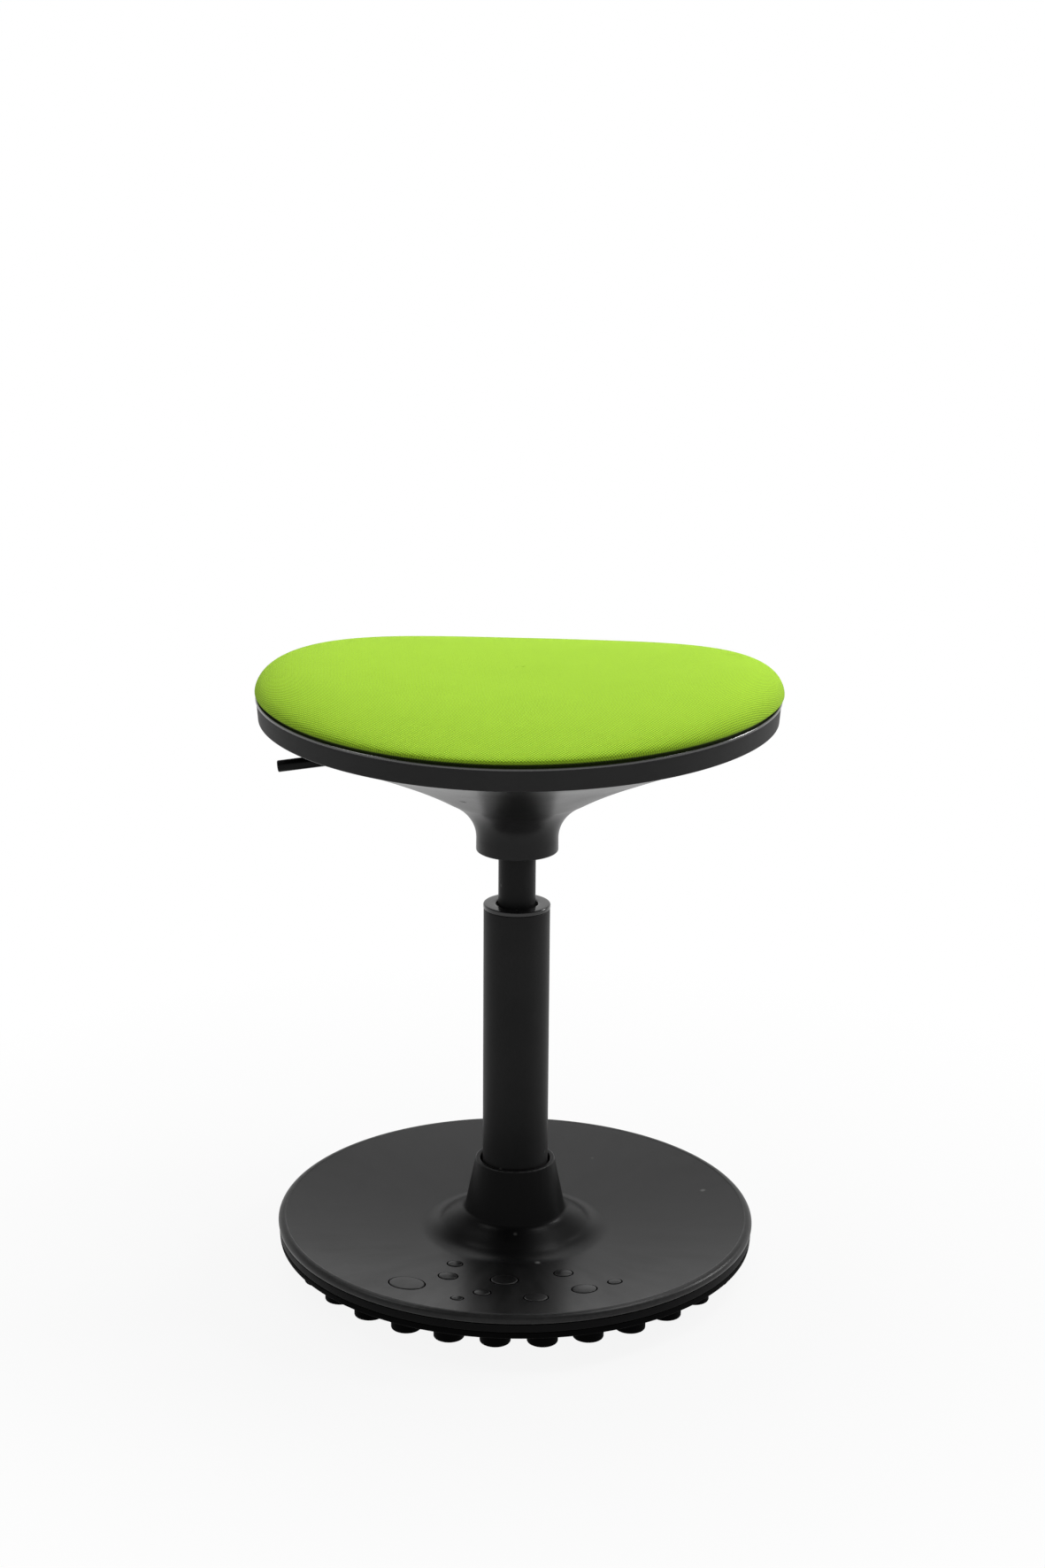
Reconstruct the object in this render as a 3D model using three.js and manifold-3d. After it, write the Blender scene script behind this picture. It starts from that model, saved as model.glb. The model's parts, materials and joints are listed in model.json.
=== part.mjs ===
// Wobble stool: a studded rocking base, a gas-sprung column and a padded saddle seat.
// Millimetres, +Z up. The origin is on the floor under the column; the sitter faces -Y, the lever points to -X.
import * as THREE from "three";
import { mergeVertices } from "three/addons/utils/BufferGeometryUtils.js";
import Module from "manifold-3d";

const wasm = await Module();
wasm.setup();

// Fits and facets
const fitGap = 0.3;
const runningGap = 0.3;
const cutOverrun = 2;
const weldTolerance = 0.0001;
const largeSegments = 36;
const mediumSegments = 24;
const innerSegments = 12;
const smallSegments = 8;
const fastenerSegments = 6;
const curveSteps = 3;
const liningSteps = 2;
const dishSteps = 2;
const domeFacet = 61;

// Rocking sole
const domeRadius = 1011;
const contactRingRadius = 36;
const studRingInset = 20.8;
const studRingCount = 4;
const studsInFirstRing = 6;
const studsAddedPerRing = 8;
const studSides = 8;
const hiddenStudSides = 6;
const studRadius = 11.4;
const studHeight = 8.6;
const studBevel = 1.6;
const soleInset = 1.3;
const soleEdgeInset = 2.2;
const soleLipHeight = 0.9;
const soleThickness = 4.7;

// Tray under the base
const trayInset = 0.8;
const trayWall = 2.5;
const trayFloorThickness = 2.5;
const trayBandHeight = 5.7;

// Ballast and steel hub
const ballastInset = 20;
const ballastThickness = 6;
const ballastFlatRadius = 54;
const hubFlangeRadius = 50;
const hubFlangeThickness = 5;
const hubLedgeThickness = 2;
const hubLedgeRadius = 20;
const hubSleeveWall = 4.2;
const hubSleeveHeight = 38.5;
const hubFillet = 2.5;
const gussetCount = 4;
const gussetThickness = 4;
const gussetReach = 13;
const gussetRise = 17;
const hubBoltCount = 4;
const hubBoltCircle = 41.5;
const hubBoltRadius = 3;
const hubBoltHeadRadius = 5.5;
const hubBoltHeadHeight = 3.2;
const hubBoltDepth = 4.5;

// Base cover
const coverRadius = 182.8;
const coverSeam = 0.6;
const coverWall = 3;
const coverRimHeight = 6.1;
const coverRimUndercut = 0.7;
const coverRimBulgeHeight = 2.2;
const beadInset = 4.6;
const beadWidth = 1.2;
const beadStep = 0.4;
const dishDepthShare = 0.951;
const humpFootRadius = 70;
const humpShoulderRadius = 43.8;
const humpShoulderRise = 14.1;
const humpShoulderReach = 9.5;
const humpShoulderDrop = 4.2;
const humpFootReach = 10;
const humpFootTilt = 1.2;
const flareReach = 4.4;
const flareDrop = 2;
const coneFootRadius = 37.8;
const coneFootRise = 7.6;
const collarRadius = 30.3;
const collarBoreRadius = 26.5;
const collarHeight = 56.9;
const collarEdge = 1.9;
const collarLipDepth = 4.4;
const collarLipSlope = 1.6;
const coverBossRadius = 4.5;
const coverBossInset = 11.5;
const baseScrewCount = 6;
const baseScrewRadius = 1.6;
const baseScrewHeadRadius = 3.6;
const baseScrewHeadHeight = 1.6;
const baseScrewDepth = 9;
const trayPadRadius = 6;
const trayPadWall = 2;

// Moulded dots on the base cover: radius and bearing from the front as places, then size and crown
const dotPlaceShares = [
  [0.78, -34.5, 0.07, 0],
  [0.466, -32.6, 0.029, 1],
  [0.599, -27.7, 0.037, 1],
  [0.559, -5.3, 0.053, 0],
  [0.72, -11.4, 0.032, 0],
  [0.82, -17.1, 0.023, 0],
  [0.765, 5.2, 0.046, 0],
  [0.522, 21.1, 0.036, 1],
  [0.725, 21.4, 0.048, 0],
  [0.724, 32.5, 0.026, 0],
];
const dotSegments = 8;
const dotHeight = 0.7;
const dotCrownHeight = 1.1;
const dotEdge = 0.6;
const dotRoot = 1.5;

// Column tube, cap and guide
const tubeRadius = 25;
const tubeWall = 2;
const tubeLength = 260.8;
const tubeFloorLift = 5.4;
const tubeFloorThickness = 3;
const capHeight = 3.2;
const capRadius = 25.3;
const capEdge = 1.8;
const capBoreRadius = 15.9;
const capSpigotDepth = 9;
const capSpigotWall = 2.2;
const bushWall = 3;
const bushRibRadius = 22.6;
const bushRibHeight = 12;

// Gas spring
const strokeLength = 130;
const cylinderRadius = 14;
const cylinderBoreRadius = 12;
const cylinderCrown = 14;
const cylinderTaper = 0.8;
const cylinderTaperLength = 60;
const restReveal = 41.5;
const rodRadius = 5;
const rodGrooveRadius = 4;
const rodTipLength = 1.2;
const rodEdge = 0.6;
const rodCollarRadius = 9;
const rodCollarHeight = 3;
const washerRadius = 10;
const washerThickness = 1.5;
const clipRadius = 8;
const clipThickness = 1.2;
const clipMouth = 4.5;
const raceRadius = 13;
const raceThickness = 2;
const raceGrooveDepth = 0.5;
const ballRadius = 2;
const ballCount = 8;
const ballCircle = 9.4;
const ballSegments = 6;
const cageHalfHeight = 0.8;
const cageHalfWidth = 2.9;
const bumperRadius = 12.4;
const bumperHeight = 10;
const bumperWaist = 1.4;
const bumperClearance = 0.6;
const glandSetback = 1.2;
const glandHeight = 13.8;
const sealHeight = 5;
const pistonTopClearance = 2;
const pistonHeight = 12;
const pistonRingHeight = 2.4;
const pistonRingDepth = 1.6;
const pistonNutRadius = 7.5;
const pistonNutHeight = 4;
const nutSides = 6;
const bushEngagement = 8;

// Release pin
const pinRadius = 3;
const pinStemDepth = 30;
const pinTravel = 3;
const buttonRadius = 4.6;
const buttonHeight = 3.5;
const buttonEdge = 0.8;

// Seat carrier
const seatDepth = 76;
const socketWall = 4.7;
const socketProud = 4.5;
const panThickness = 2.5;
const panFloorDrop = 11.3;
const panFloorRadius = 44;
const panWallRadius = 56.5;
const panRise = 34.9;
const panFlangeRadius = 84;
const panBend = 3;
const panWindowWidth = 16;
const panWindowLow = 7;
const panWindowHigh = 26;
const panWindowReach = 24;
const panScrewCount = 4;
const panScrewCircle = 71;
const panScrewRadius = 2.5;
const panScrewHeadRadius = 5;
const panScrewHeadHeight = 2.4;
const panScrewDepth = 8;

// Release lever
const leverReach = 177.5;
const leverRodRadius = 3.8;
const leverTipRadius = 1.1;
const leverDroopDegrees = 7.6;
const leverPivotOffset = 27;
const leverPivotRadius = 2.5;
const leverBlockLength = 18;
const leverBlockHeight = 11;
const leverBlockWidth = 9;
const leverNoseWidth = 8;
const leverNoseDepth = 4;
const leverNoseHeight = 3.2;
const leverNoseReach = 32;
const bracketBaseThickness = 2;
const bracketEarThickness = 2.5;
const bracketLength = 13;
const bracketEarTop = 5.5;
const leverPinHeadRadius = 3.9;
const leverPinHeadHeight = 1.3;

// Seat shell
const shellWall = 3;
const bossHoleRadius = 17.5;
const bossRadius = 30.75;
const bossEdge = 1.25;
const bossWaistInset = 0.1;
const bossWaistRise = 9.7;
const trumpetRadius = 54.9;
const trumpetRise = 41.1;
const trumpetStartReach = 14;
const trumpetEndReach = 14.4;
const trumpetEndDrop = 7.1;
const bowlSwellRadius = 97;
const bowlSwellRise = 66.2;
const bowlInset = 5;
const bowlRise = 98.3;
const rimRadius = 192.5;
const rimBottomInset = 2.5;
const rimBottomRise = 99.3;
const rimCorner = 2.4;
const rimHeight = 15.4;
const ledgeWidth = 8;
const ledgeRise = 102.4;
const ledgeDepth = 4;
const leverSlotWidth = 11.5;
const leverSlotInner = 92;
const leverSlotOuter = 168;
const towerRadius = 6;
const towerCircle = 140;
const towerCount = 4;
const towerBearingDegrees = 45;
const shellScrewRadius = 2;
const shellScrewHeadRadius = 4;
const shellScrewHeadHeight = 2.4;
const shellScrewSeat = 5.5;
const shellScrewDepth = 7;

// Seat board and cushion
const boardThickness = 10;
const boardEdge = 1.2;
const cushionOverhang = 2;
const cushionWidestRise = 120.7;
const cushionCrown = 17.6;
const saddleHeight = 10.7;
const saddleLean = 3;
const saddleBearingDegrees = 172;
const cushionFlatness = 5.8;
const cushionRoll = 2.1;
const cushionTuckRise = 115.9;
const cushionTuckInset = 3.8;
const cushionStepShares = [0, 0.24, 0.45, 0.62, 0.75, 0.85, 0.92, 0.965, 0.99, 1];
const liningStepShares = [0, 0.45, 0.75, 0.92, 0.985, 1];
const cushionSegments = 36;
const fabricThickness = 1.2;
const hemHeight = 6;

// Heights that stack up from the floor
const degree = Math.PI / 180;
const sphereRise = (radius, r) => radius - Math.sqrt(radius * radius - r * r);
// The dome as straight facets between shared radii, so that every layer of the base nests in the next.
const facetRise = (r) => {
  const from = Math.floor(r / domeFacet) * domeFacet;
  const low = sphereRise(domeRadius, from);
  return low + ((sphereRise(domeRadius, from + domeFacet) - low) * (r - from)) / domeFacet;
};
const domeRise = (r) => facetRise(r) - facetRise(contactRingRadius);
const soleRadius = coverRadius - soleInset;
const trayRadius = coverRadius - trayInset;
const ballastRadius = coverRadius - ballastInset;
const coverBossCircle = coverRadius - coverBossInset;
const studRingStep = (coverRadius - studRingInset - contactRingRadius) / (studRingCount - 1);
const soleFace = (r) => studHeight + domeRise(r);
const soleTop = (r) => soleFace(r) + soleThickness;
const trayUnder = (r) => soleTop(r) + fitGap;
const trayInside = (r) => trayUnder(r) + trayFloorThickness;
const ballastUnder = (r) => trayInside(r) + fitGap;
const ballastTop = (r) => ballastUnder(Math.max(r, ballastFlatRadius)) + ballastThickness;
const trayTop = trayUnder(trayRadius) + trayBandHeight;
const coverRimBottom = trayTop + coverSeam;
const coverTop = coverRimBottom + coverRimHeight;
const beadRadius = coverRadius - beadInset;
const dishEdgeRadius = beadRadius - beadWidth;
const dishDepth = facetRise(coverRadius) * dishDepthShare;
const dishRadius = (dishEdgeRadius * dishEdgeRadius + dishDepth * dishDepth) / (dishDepth * 2);
const dishTop = (r) => coverTop - beadStep - sphereRise(dishRadius, dishEdgeRadius) + sphereRise(dishRadius, r);
const hubBottom = ballastTop(0) + fitGap;
const hubFlangeTop = hubBottom + hubFlangeThickness;
const tubeBottom = hubBottom + hubLedgeThickness + fitGap;
const tubeTop = tubeBottom + tubeLength;
const tubeFloor = tubeBottom + tubeFloorLift;
const lowerRace = tubeFloor + tubeFloorThickness + fitGap;
const ballCentre = lowerRace + raceThickness + fitGap + ballRadius - raceGrooveDepth;
const upperRace = ballCentre + ballRadius - raceGrooveDepth + fitGap;
const rodCollar = upperRace + raceThickness + fitGap;
const bumperBottom = rodCollar + rodCollarHeight + fitGap;
const cylinderBottom = bumperBottom + bumperHeight + bumperClearance;
const glandBottom = cylinderBottom + glandSetback;
const sealBottom = glandBottom + glandHeight + fitGap;
const pistonBottom = sealBottom + sealHeight + strokeLength + pistonTopClearance;
const pistonTop = pistonBottom + pistonHeight;
const capBottom = tubeTop + fitGap;
const capTop = capBottom + capHeight;
const bossBottom = capTop + restReveal;
const cylinderTop = bossBottom + seatDepth;
const buttonBottom = cylinderTop + runningGap + pinTravel;
const buttonTop = buttonBottom + buttonHeight;
const leverDroop = leverDroopDegrees * degree;
const noseRise = leverPivotOffset * Math.tan(leverDroop) - leverNoseDepth / Math.cos(leverDroop);
const leverPivotHeight = buttonTop + fitGap + buttonRadius * Math.tan(leverDroop) - noseRise;
const panFloor = cylinderTop - panFloorDrop;
const panTop = panFloor + panRise;
const boardBottom = bossBottom + ledgeRise + fitGap;
const boardTop = boardBottom + boardThickness;
const rimTop = bossBottom + rimBottomRise + rimHeight;
const bowlRadius = rimRadius - bowlInset;
const rimBottomRadius = rimRadius - rimBottomInset;
const cushionRadius = rimRadius + cushionOverhang;
const innerRimRadius = rimRadius - shellWall;
const hemRadius = innerRimRadius - fitGap * 2;
const boardRadius = hemRadius - fabricThickness - fitGap;

// Finishes
const finishes = {
  cover: { color: 0x1d1e1f, roughness: 0.55, metalness: 0 },
  tray: { color: 0x141516, roughness: 0.6, metalness: 0 },
  rubber: { color: 0x0d0d0e, roughness: 0.85, metalness: 0 },
  castIron: { color: 0x33343a, roughness: 0.7, metalness: 0.6 },
  steel: { color: 0x8a8d91, roughness: 0.35, metalness: 0.9 },
  powderCoat: { color: 0x1b1b1d, roughness: 0.5, metalness: 0.1 },
  gloss: { color: 0x08080a, roughness: 0.12, metalness: 0 },
  guide: { color: 0x2b2c2e, roughness: 0.5, metalness: 0 },
  shell: { color: 0x1a1b1c, roughness: 0.5, metalness: 0 },
  wood: { color: 0xb08a5a, roughness: 0.7, metalness: 0 },
  foam: { color: 0xe8dfb8, roughness: 0.95, metalness: 0 },
  fabric: { color: 0xa3d53e, roughness: 0.9, metalness: 0 },
};

// A geometry reduced to shared vertices and real triangles.
function cleaned(geometry) {
  const bare = geometry.index ? geometry.toNonIndexed() : geometry.clone();
  bare.deleteAttribute("normal");
  bare.deleteAttribute("uv");
  const merged = mergeVertices(bare, weldTolerance);
  const kept = [];
  const corners = merged.index.array;
  for (let i = 0; i < corners.length; i += 3) {
    const [a, b, c] = [corners[i], corners[i + 1], corners[i + 2]];
    if (a !== b && b !== c && c !== a) kept.push(a, b, c);
  }
  merged.setIndex(kept);
  return merged;
}

// A closed geometry as a solid that can be joined and cut, turned right side out.
function solidOf(geometry) {
  const shape = cleaned(geometry);
  const vertProperties = new Float32Array(shape.attributes.position.array);
  const triVerts = new Uint32Array(shape.index.array);
  const made = new wasm.Manifold(new wasm.Mesh({ numProp: 3, vertProperties, triVerts }));
  if (made.volume() > 0) return made;
  for (let i = 0; i < triVerts.length; i += 3) {
    [triVerts[i + 1], triVerts[i + 2]] = [triVerts[i + 2], triVerts[i + 1]];
  }
  return new wasm.Manifold(new wasm.Mesh({ numProp: 3, vertProperties, triVerts }));
}

// The triangles of a solid as a geometry.
function geometryOf(solid) {
  const mesh = solid.getMesh();
  const geometry = new THREE.BufferGeometry();
  geometry.setAttribute("position", new THREE.BufferAttribute(new Float32Array(mesh.vertProperties), 3));
  geometry.setIndex(new THREE.BufferAttribute(new Uint32Array(mesh.triVerts), 1));
  return geometry;
}

// A base solid with others joined on and others cut away.
function shaped(base, joins, cuts) {
  let solid = solidOf(base);
  for (const join of joins) solid = solid.add(solidOf(join));
  for (const cut of cuts) solid = solid.subtract(solidOf(cut));
  return geometryOf(solid);
}

// A solid of revolution about Z from an outline of [radius, height] corners that ends on the axis or closes.
function turned(outline, segments) {
  const points = outline.map(([r, z]) => new THREE.Vector2(r, z));
  const onAxis = points[0].x === 0 && points[points.length - 1].x === 0;
  if (!onAxis) points.push(points[0].clone());
  const lathe = new THREE.LatheGeometry(points, segments);
  return geometryOf(solidOf(lathe.rotateX(Math.PI / 2)));
}

// A plain ring about Z.
function ring(inner, outer, low, high, segments) {
  return turned([[inner, low], [outer, low], [outer, high], [inner, high]], segments);
}

// A plain round bar about Z.
function bar(radius, low, high, segments) {
  return turned([[0, low], [radius, low], [radius, high], [0, high]], segments);
}

// A bar with a wider head at its low end, like a screw driven upwards.
function screwUp(head, headHeight, shank, low, high) {
  const neck = low + headHeight;
  return turned([[0, low], [head, low], [head, neck], [shank, neck], [shank, high], [0, high]], fastenerSegments);
}

// A drawn path as [radius, height] corners.
function traced(path, steps) {
  return path.getPoints(steps).map((p) => [p.x, p.y]);
}

// The corners of a line moved sideways by a wall, to the left of its direction.
function offsetLine(line, wall) {
  return line.map((corner, i) => {
    const before = line[Math.max(i - 1, 0)];
    const after = line[Math.min(i + 1, line.length - 1)];
    const into = new THREE.Vector2(corner[0] - before[0], corner[1] - before[1]).normalize();
    const out = new THREE.Vector2(after[0] - corner[0], after[1] - corner[1]).normalize();
    if (i === 0) into.copy(out);
    if (i === line.length - 1) out.copy(into);
    const mean = into.clone().add(out).normalize();
    const reach = wall / mean.dot(out);
    return [corner[0] - mean.y * reach, corner[1] + mean.x * reach];
  });
}

// A thin-walled outline: the outer line, and the plainer line of its lining moved inwards.
function walled(line, lining, wall) {
  return [...line, ...offsetLine(lining, wall).reverse()];
}

// A closed skin round Z whose section changes with the bearing and starts and ends on the axis.
// Each four-sided face is split the same way where the section runs out and where it comes back.
function lofted(sectionAt, segments) {
  const positions = [];
  const sections = [];
  for (let i = 0; i < segments; i += 1) {
    const bearing = (i / segments) * Math.PI * 2;
    sections.push(sectionAt(bearing).map(([r, z]) => [r * Math.cos(bearing), r * Math.sin(bearing), z]));
  }
  for (let i = 0; i < segments; i += 1) {
    const here = sections[i];
    const next = sections[(i + 1) % segments];
    for (let j = 0; j < here.length - 1; j += 1) {
      const corners = [here[j], next[j], next[j + 1], here[j + 1]];
      const outward = Math.hypot(here[j + 1][0], here[j + 1][1]) >= Math.hypot(here[j][0], here[j][1]);
      const [a, b, c, d] = outward ? corners : [...corners.slice(1), corners[0]];
      positions.push(...a, ...b, ...c, ...a, ...c, ...d);
    }
  }
  const geometry = new THREE.BufferGeometry();
  geometry.setAttribute("position", new THREE.Float32BufferAttribute(positions, 3));
  return geometryOf(solidOf(geometry));
}

// Copies of a geometry spread evenly round Z.
function aroundAxis(geometry, count, radius, startDegrees) {
  const copies = [];
  for (let i = 0; i < count; i += 1) {
    const bearing = startDegrees * degree + (i / count) * Math.PI * 2;
    copies.push(geometry.clone().translate(radius, 0, 0).rotateZ(bearing));
  }
  return copies;
}

// One named piece.
function piece(name, geometry, finish) {
  const mesh = new THREE.Mesh(geometry, new THREE.MeshStandardMaterial(finishes[finish]));
  mesh.name = name;
  return mesh;
}

// Numbered copies of a fastener spread round Z.
function fasteners(name, geometry, count, radius, startDegrees, finish) {
  return aroundAxis(geometry, count, radius, startDegrees).map((copy, i) => {
    return piece(name + "_" + (i + 1), copy, finish);
  });
}

// Radii from zero to an edge in even steps.
function radiiTo(edge, steps) {
  return Array.from({ length: steps + 1 }, (_, i) => (edge * i) / steps);
}

// Radii from the axis to an edge at the dome's facet lines.
function domeRadii(edge) {
  const lines = Math.ceil(edge / domeFacet);
  return [...Array.from({ length: lines }, (_, i) => i * domeFacet), edge];
}

// Rubber sole: a domed sheet with rings of bevelled studs, the first ring touching the floor.
function rubberSole() {
  const faceRadius = soleRadius - soleEdgeInset;
  const under = domeRadii(faceRadius).map((r) => [r, soleFace(r)]);
  const over = domeRadii(soleRadius).map((r) => [r, soleTop(r)]).reverse();
  const lip = [soleRadius, soleTop(soleRadius) - soleLipHeight];
  const sheet = turned([...under, lip, ...over], largeSegments);
  const studs = [];
  for (let k = 0; k < studRingCount; k += 1) {
    const radius = contactRingRadius + k * studRingStep;
    const low = domeRise(radius);
    const root = soleFace(radius) + soleThickness / 2;
    const outermost = k === studRingCount - 1;
    const sides = outermost ? studSides : hiddenStudSides;
    const bevel = [[studRadius - studBevel, low], [studRadius, low + studBevel]];
    const foot = outermost ? bevel : [[studRadius, low]];
    const outline = [[0, low], ...foot, [studRadius, root], [0, root]];
    const count = studsInFirstRing + k * studsAddedPerRing;
    studs.push(...aroundAxis(turned(outline, sides), count, radius, -90 + 180 / count));
  }
  return shaped(sheet, studs, []);
}

// Tray: the lower plastic shell that follows the dome, with an upright band at its edge.
function baseTray() {
  const under = domeRadii(trayRadius).map((r) => [r, trayUnder(r)]);
  const inner = domeRadii(trayRadius - trayWall).map((r) => [r, trayInside(r)]).reverse();
  const wall = [[trayRadius, trayTop], [trayRadius - trayWall, trayTop]];
  const padTop = baseScrewSeat() + trayPadWall;
  const pad = bar(trayPadRadius, trayUnder(coverBossCircle + trayPadRadius) + fitGap, padTop, smallSegments);
  const holeTop = padTop + cutOverrun;
  const hole = bar(baseScrewRadius + fitGap, soleFace(coverBossCircle), holeTop, smallSegments);
  const seat = bar(baseScrewHeadRadius + fitGap, soleFace(coverBossCircle), baseScrewSeat(), smallSegments);
  const holes = aroundAxis(hole, baseScrewCount, coverBossCircle, 0);
  const seats = aroundAxis(seat, baseScrewCount, coverBossCircle, 0);
  const pads = aroundAxis(pad, baseScrewCount, coverBossCircle, 0);
  return shaped(turned([...under, ...wall, ...inner], largeSegments), pads, [...holes, ...seats]);
}

// Height of the flat that the head of a base screw pulls against.
function baseScrewSeat() {
  return trayUnder(coverBossCircle + baseScrewHeadRadius) + fitGap * 2 + baseScrewHeadHeight;
}

// Ballast: a heavy dished disc with a flat middle for the hub.
function ballastPlate() {
  const outer = domeRadii(ballastRadius).map((r) => [r, ballastUnder(r)]);
  const rims = [ballastRadius, (ballastRadius + ballastFlatRadius) / 2, ballastFlatRadius, 0];
  const upper = rims.map((r) => [r, ballastTop(r)]);
  const thread = bar(hubBoltRadius + fitGap, ballastTop(0) - hubBoltDepth - fitGap, hubBottom, smallSegments);
  return shaped(turned([...outer, ...upper], largeSegments), [], aroundAxis(thread, hubBoltCount, hubBoltCircle, 0));
}

// Steel hub: a bolted flange with a sleeve that the column stands in, stiffened by gussets.
function hubSocket() {
  const bore = tubeRadius + fitGap;
  const sleeve = bore + hubSleeveWall;
  const top = hubBottom + hubSleeveHeight;
  const outline = [
    [hubLedgeRadius, hubBottom],
    [hubFlangeRadius, hubBottom],
    [hubFlangeRadius, hubFlangeTop],
    [sleeve + hubFillet, hubFlangeTop],
    [sleeve, hubFlangeTop + hubFillet],
    [sleeve, top],
    [bore, top],
    [bore, hubBottom + hubLedgeThickness],
    [hubLedgeRadius, hubBottom + hubLedgeThickness],
  ];
  const profile = new THREE.Shape();
  profile.moveTo(sleeve - hubSleeveWall / 2, -hubFillet / 2);
  profile.lineTo(sleeve + gussetReach, -hubFillet / 2);
  profile.lineTo(sleeve, gussetRise);
  profile.lineTo(sleeve - hubSleeveWall / 2, gussetRise);
  const gusset = new THREE.ExtrudeGeometry(profile, { depth: gussetThickness, bevelEnabled: false });
  gusset.translate(0, 0, -gussetThickness / 2).rotateX(Math.PI / 2).translate(0, 0, hubFlangeTop);
  const gussets = aroundAxis(gusset, gussetCount, 0, 180 / gussetCount);
  const hole = bar(hubBoltRadius + fitGap, hubBottom - cutOverrun, hubFlangeTop + cutOverrun, smallSegments);
  return shaped(turned(outline, mediumSegments), gussets, aroundAxis(hole, hubBoltCount, hubBoltCircle, 0));
}

function hubBolt() {
  const top = hubFlangeTop + fitGap + hubBoltHeadHeight;
  const under = hubFlangeTop + fitGap;
  const foot = ballastTop(0) - hubBoltDepth;
  const outline = [
    [0, foot],
    [hubBoltRadius, foot],
    [hubBoltRadius, under],
    [hubBoltHeadRadius, under],
    [hubBoltHeadRadius, top],
    [0, top],
  ];
  return turned(outline, fastenerSegments);
}

// Outer line of the base cover, from the foot of its rim over the dish and hump to the collar.
function coverLine(steps) {
  const shoulder = dishTop(humpFootRadius) + humpShoulderRise;
  const coneFoot = shoulder + coneFootRise;
  const top = dishTop(humpFootRadius) + collarHeight;
  const rim = new THREE.Path();
  rim.moveTo(coverRadius - coverRimUndercut, coverRimBottom);
  rim.lineTo(coverRadius, coverRimBottom + coverRimBulgeHeight);
  rim.quadraticCurveTo(coverRadius, coverTop, beadRadius, coverTop);
  const span = dishEdgeRadius - humpFootRadius;
  const dish = radiiTo(span, dishSteps).map((r) => [dishEdgeRadius - r, dishTop(dishEdgeRadius - r)]);
  const hump = new THREE.Path();
  hump.moveTo(humpFootRadius, dishTop(humpFootRadius));
  hump.bezierCurveTo(
    humpFootRadius - humpFootReach,
    dishTop(humpFootRadius) + humpFootTilt,
    humpShoulderRadius + humpShoulderReach,
    shoulder - humpShoulderDrop,
    humpShoulderRadius,
    shoulder,
  );
  hump.quadraticCurveTo(humpShoulderRadius - flareReach, shoulder + flareDrop, coneFootRadius, coneFoot);
  const cone = [[collarRadius, top - collarEdge]];
  return [...traced(rim, steps), ...dish, ...traced(hump, steps).slice(1), ...cone];
}

// Base cover: dished shell with a rounded rim, a hump and a cone whose collar surrounds the column.
function baseCover() {
  const outer = coverLine(curveSteps);
  const inner = offsetLine(coverLine(liningSteps), coverWall).reverse();
  const top = dishTop(humpFootRadius) + collarHeight;
  const lipFoot = top - collarLipDepth;
  const collar = [
    [collarRadius - collarEdge, top],
    [collarBoreRadius + collarEdge / 2, top],
    [collarBoreRadius, top - collarEdge / 2],
    [collarBoreRadius, lipFoot],
  ];
  const below = inner.filter(([, z], i) => i > 0 && z < lipFoot - collarLipSlope);
  const shell = turned([...outer, ...collar, ...below], largeSegments);
  const bossTop = dishTop(coverBossCircle) - coverWall / 2;
  const bossLow = baseScrewSeat() + trayPadWall + fitGap;
  const boss = bar(coverBossRadius, bossLow, bossTop, smallSegments);
  const thread = bar(baseScrewRadius + fitGap, bossLow - cutOverrun, baseScrewTip() + fitGap, fastenerSegments);
  const bosses = aroundAxis(boss, baseScrewCount, coverBossCircle, 0);
  const threads = aroundAxis(thread, baseScrewCount, coverBossCircle, 0);
  return shaped(shell, [...bosses, ...coverDots()], threads);
}

// Raised dots moulded on the cover's front, some flat and some crowned.
function coverDots() {
  return dotPlaceShares.map(([radiusShare, bearing, sizeShare, crowned]) => {
    const radius = coverRadius * radiusShare;
    const size = coverRadius * sizeShare;
    const height = crowned ? dotCrownHeight : dotHeight;
    const brow = crowned ? height / 2 : height;
    const outline = [[0, -dotRoot], [size, -dotRoot], [size, height - dotEdge], [size - dotEdge, brow], [0, height]];
    const dot = turned(outline, dotSegments);
    dot.rotateY(-Math.asin(radius / dishRadius)).translate(radius, 0, dishTop(radius));
    return dot.rotateZ((bearing - 90) * degree);
  });
}

function baseScrewTip() {
  return baseScrewSeat() + baseScrewDepth;
}

function baseScrew() {
  const low = baseScrewSeat() - fitGap - baseScrewHeadHeight;
  return screwUp(baseScrewHeadRadius, baseScrewHeadHeight, baseScrewRadius, low, baseScrewTip());
}

// Column tube with the pierced floor that the spring's rod hangs in.
function columnTube() {
  const bore = tubeRadius - tubeWall;
  const top = tubeFloor + tubeFloorThickness;
  const outline = [
    [bore, tubeBottom],
    [tubeRadius, tubeBottom],
    [tubeRadius, tubeTop],
    [bore, tubeTop],
    [bore, top],
    [rodRadius + runningGap, top],
    [rodRadius + runningGap, tubeFloor],
    [bore, tubeFloor],
  ];
  return turned(outline, mediumSegments);
}

// Glossy cap on the tube's end: a chamfered ring with a spigot inside the tube.
function tubeCap() {
  const spigot = tubeRadius - tubeWall - fitGap;
  const spigotBottom = tubeTop - capSpigotDepth;
  const outline = [
    [capBoreRadius, capTop - capEdge / 2],
    [capBoreRadius + capEdge / 2, capTop],
    [capRadius - capEdge, capTop],
    [capRadius, capTop - capEdge / 2],
    [capRadius, capBottom],
    [spigot, capBottom],
    [spigot, spigotBottom],
    [spigot - capSpigotWall, spigotBottom],
    [spigot - capSpigotWall, capBottom],
    [capBoreRadius, capBottom],
  ];
  return turned(outline, mediumSegments);
}

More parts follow.
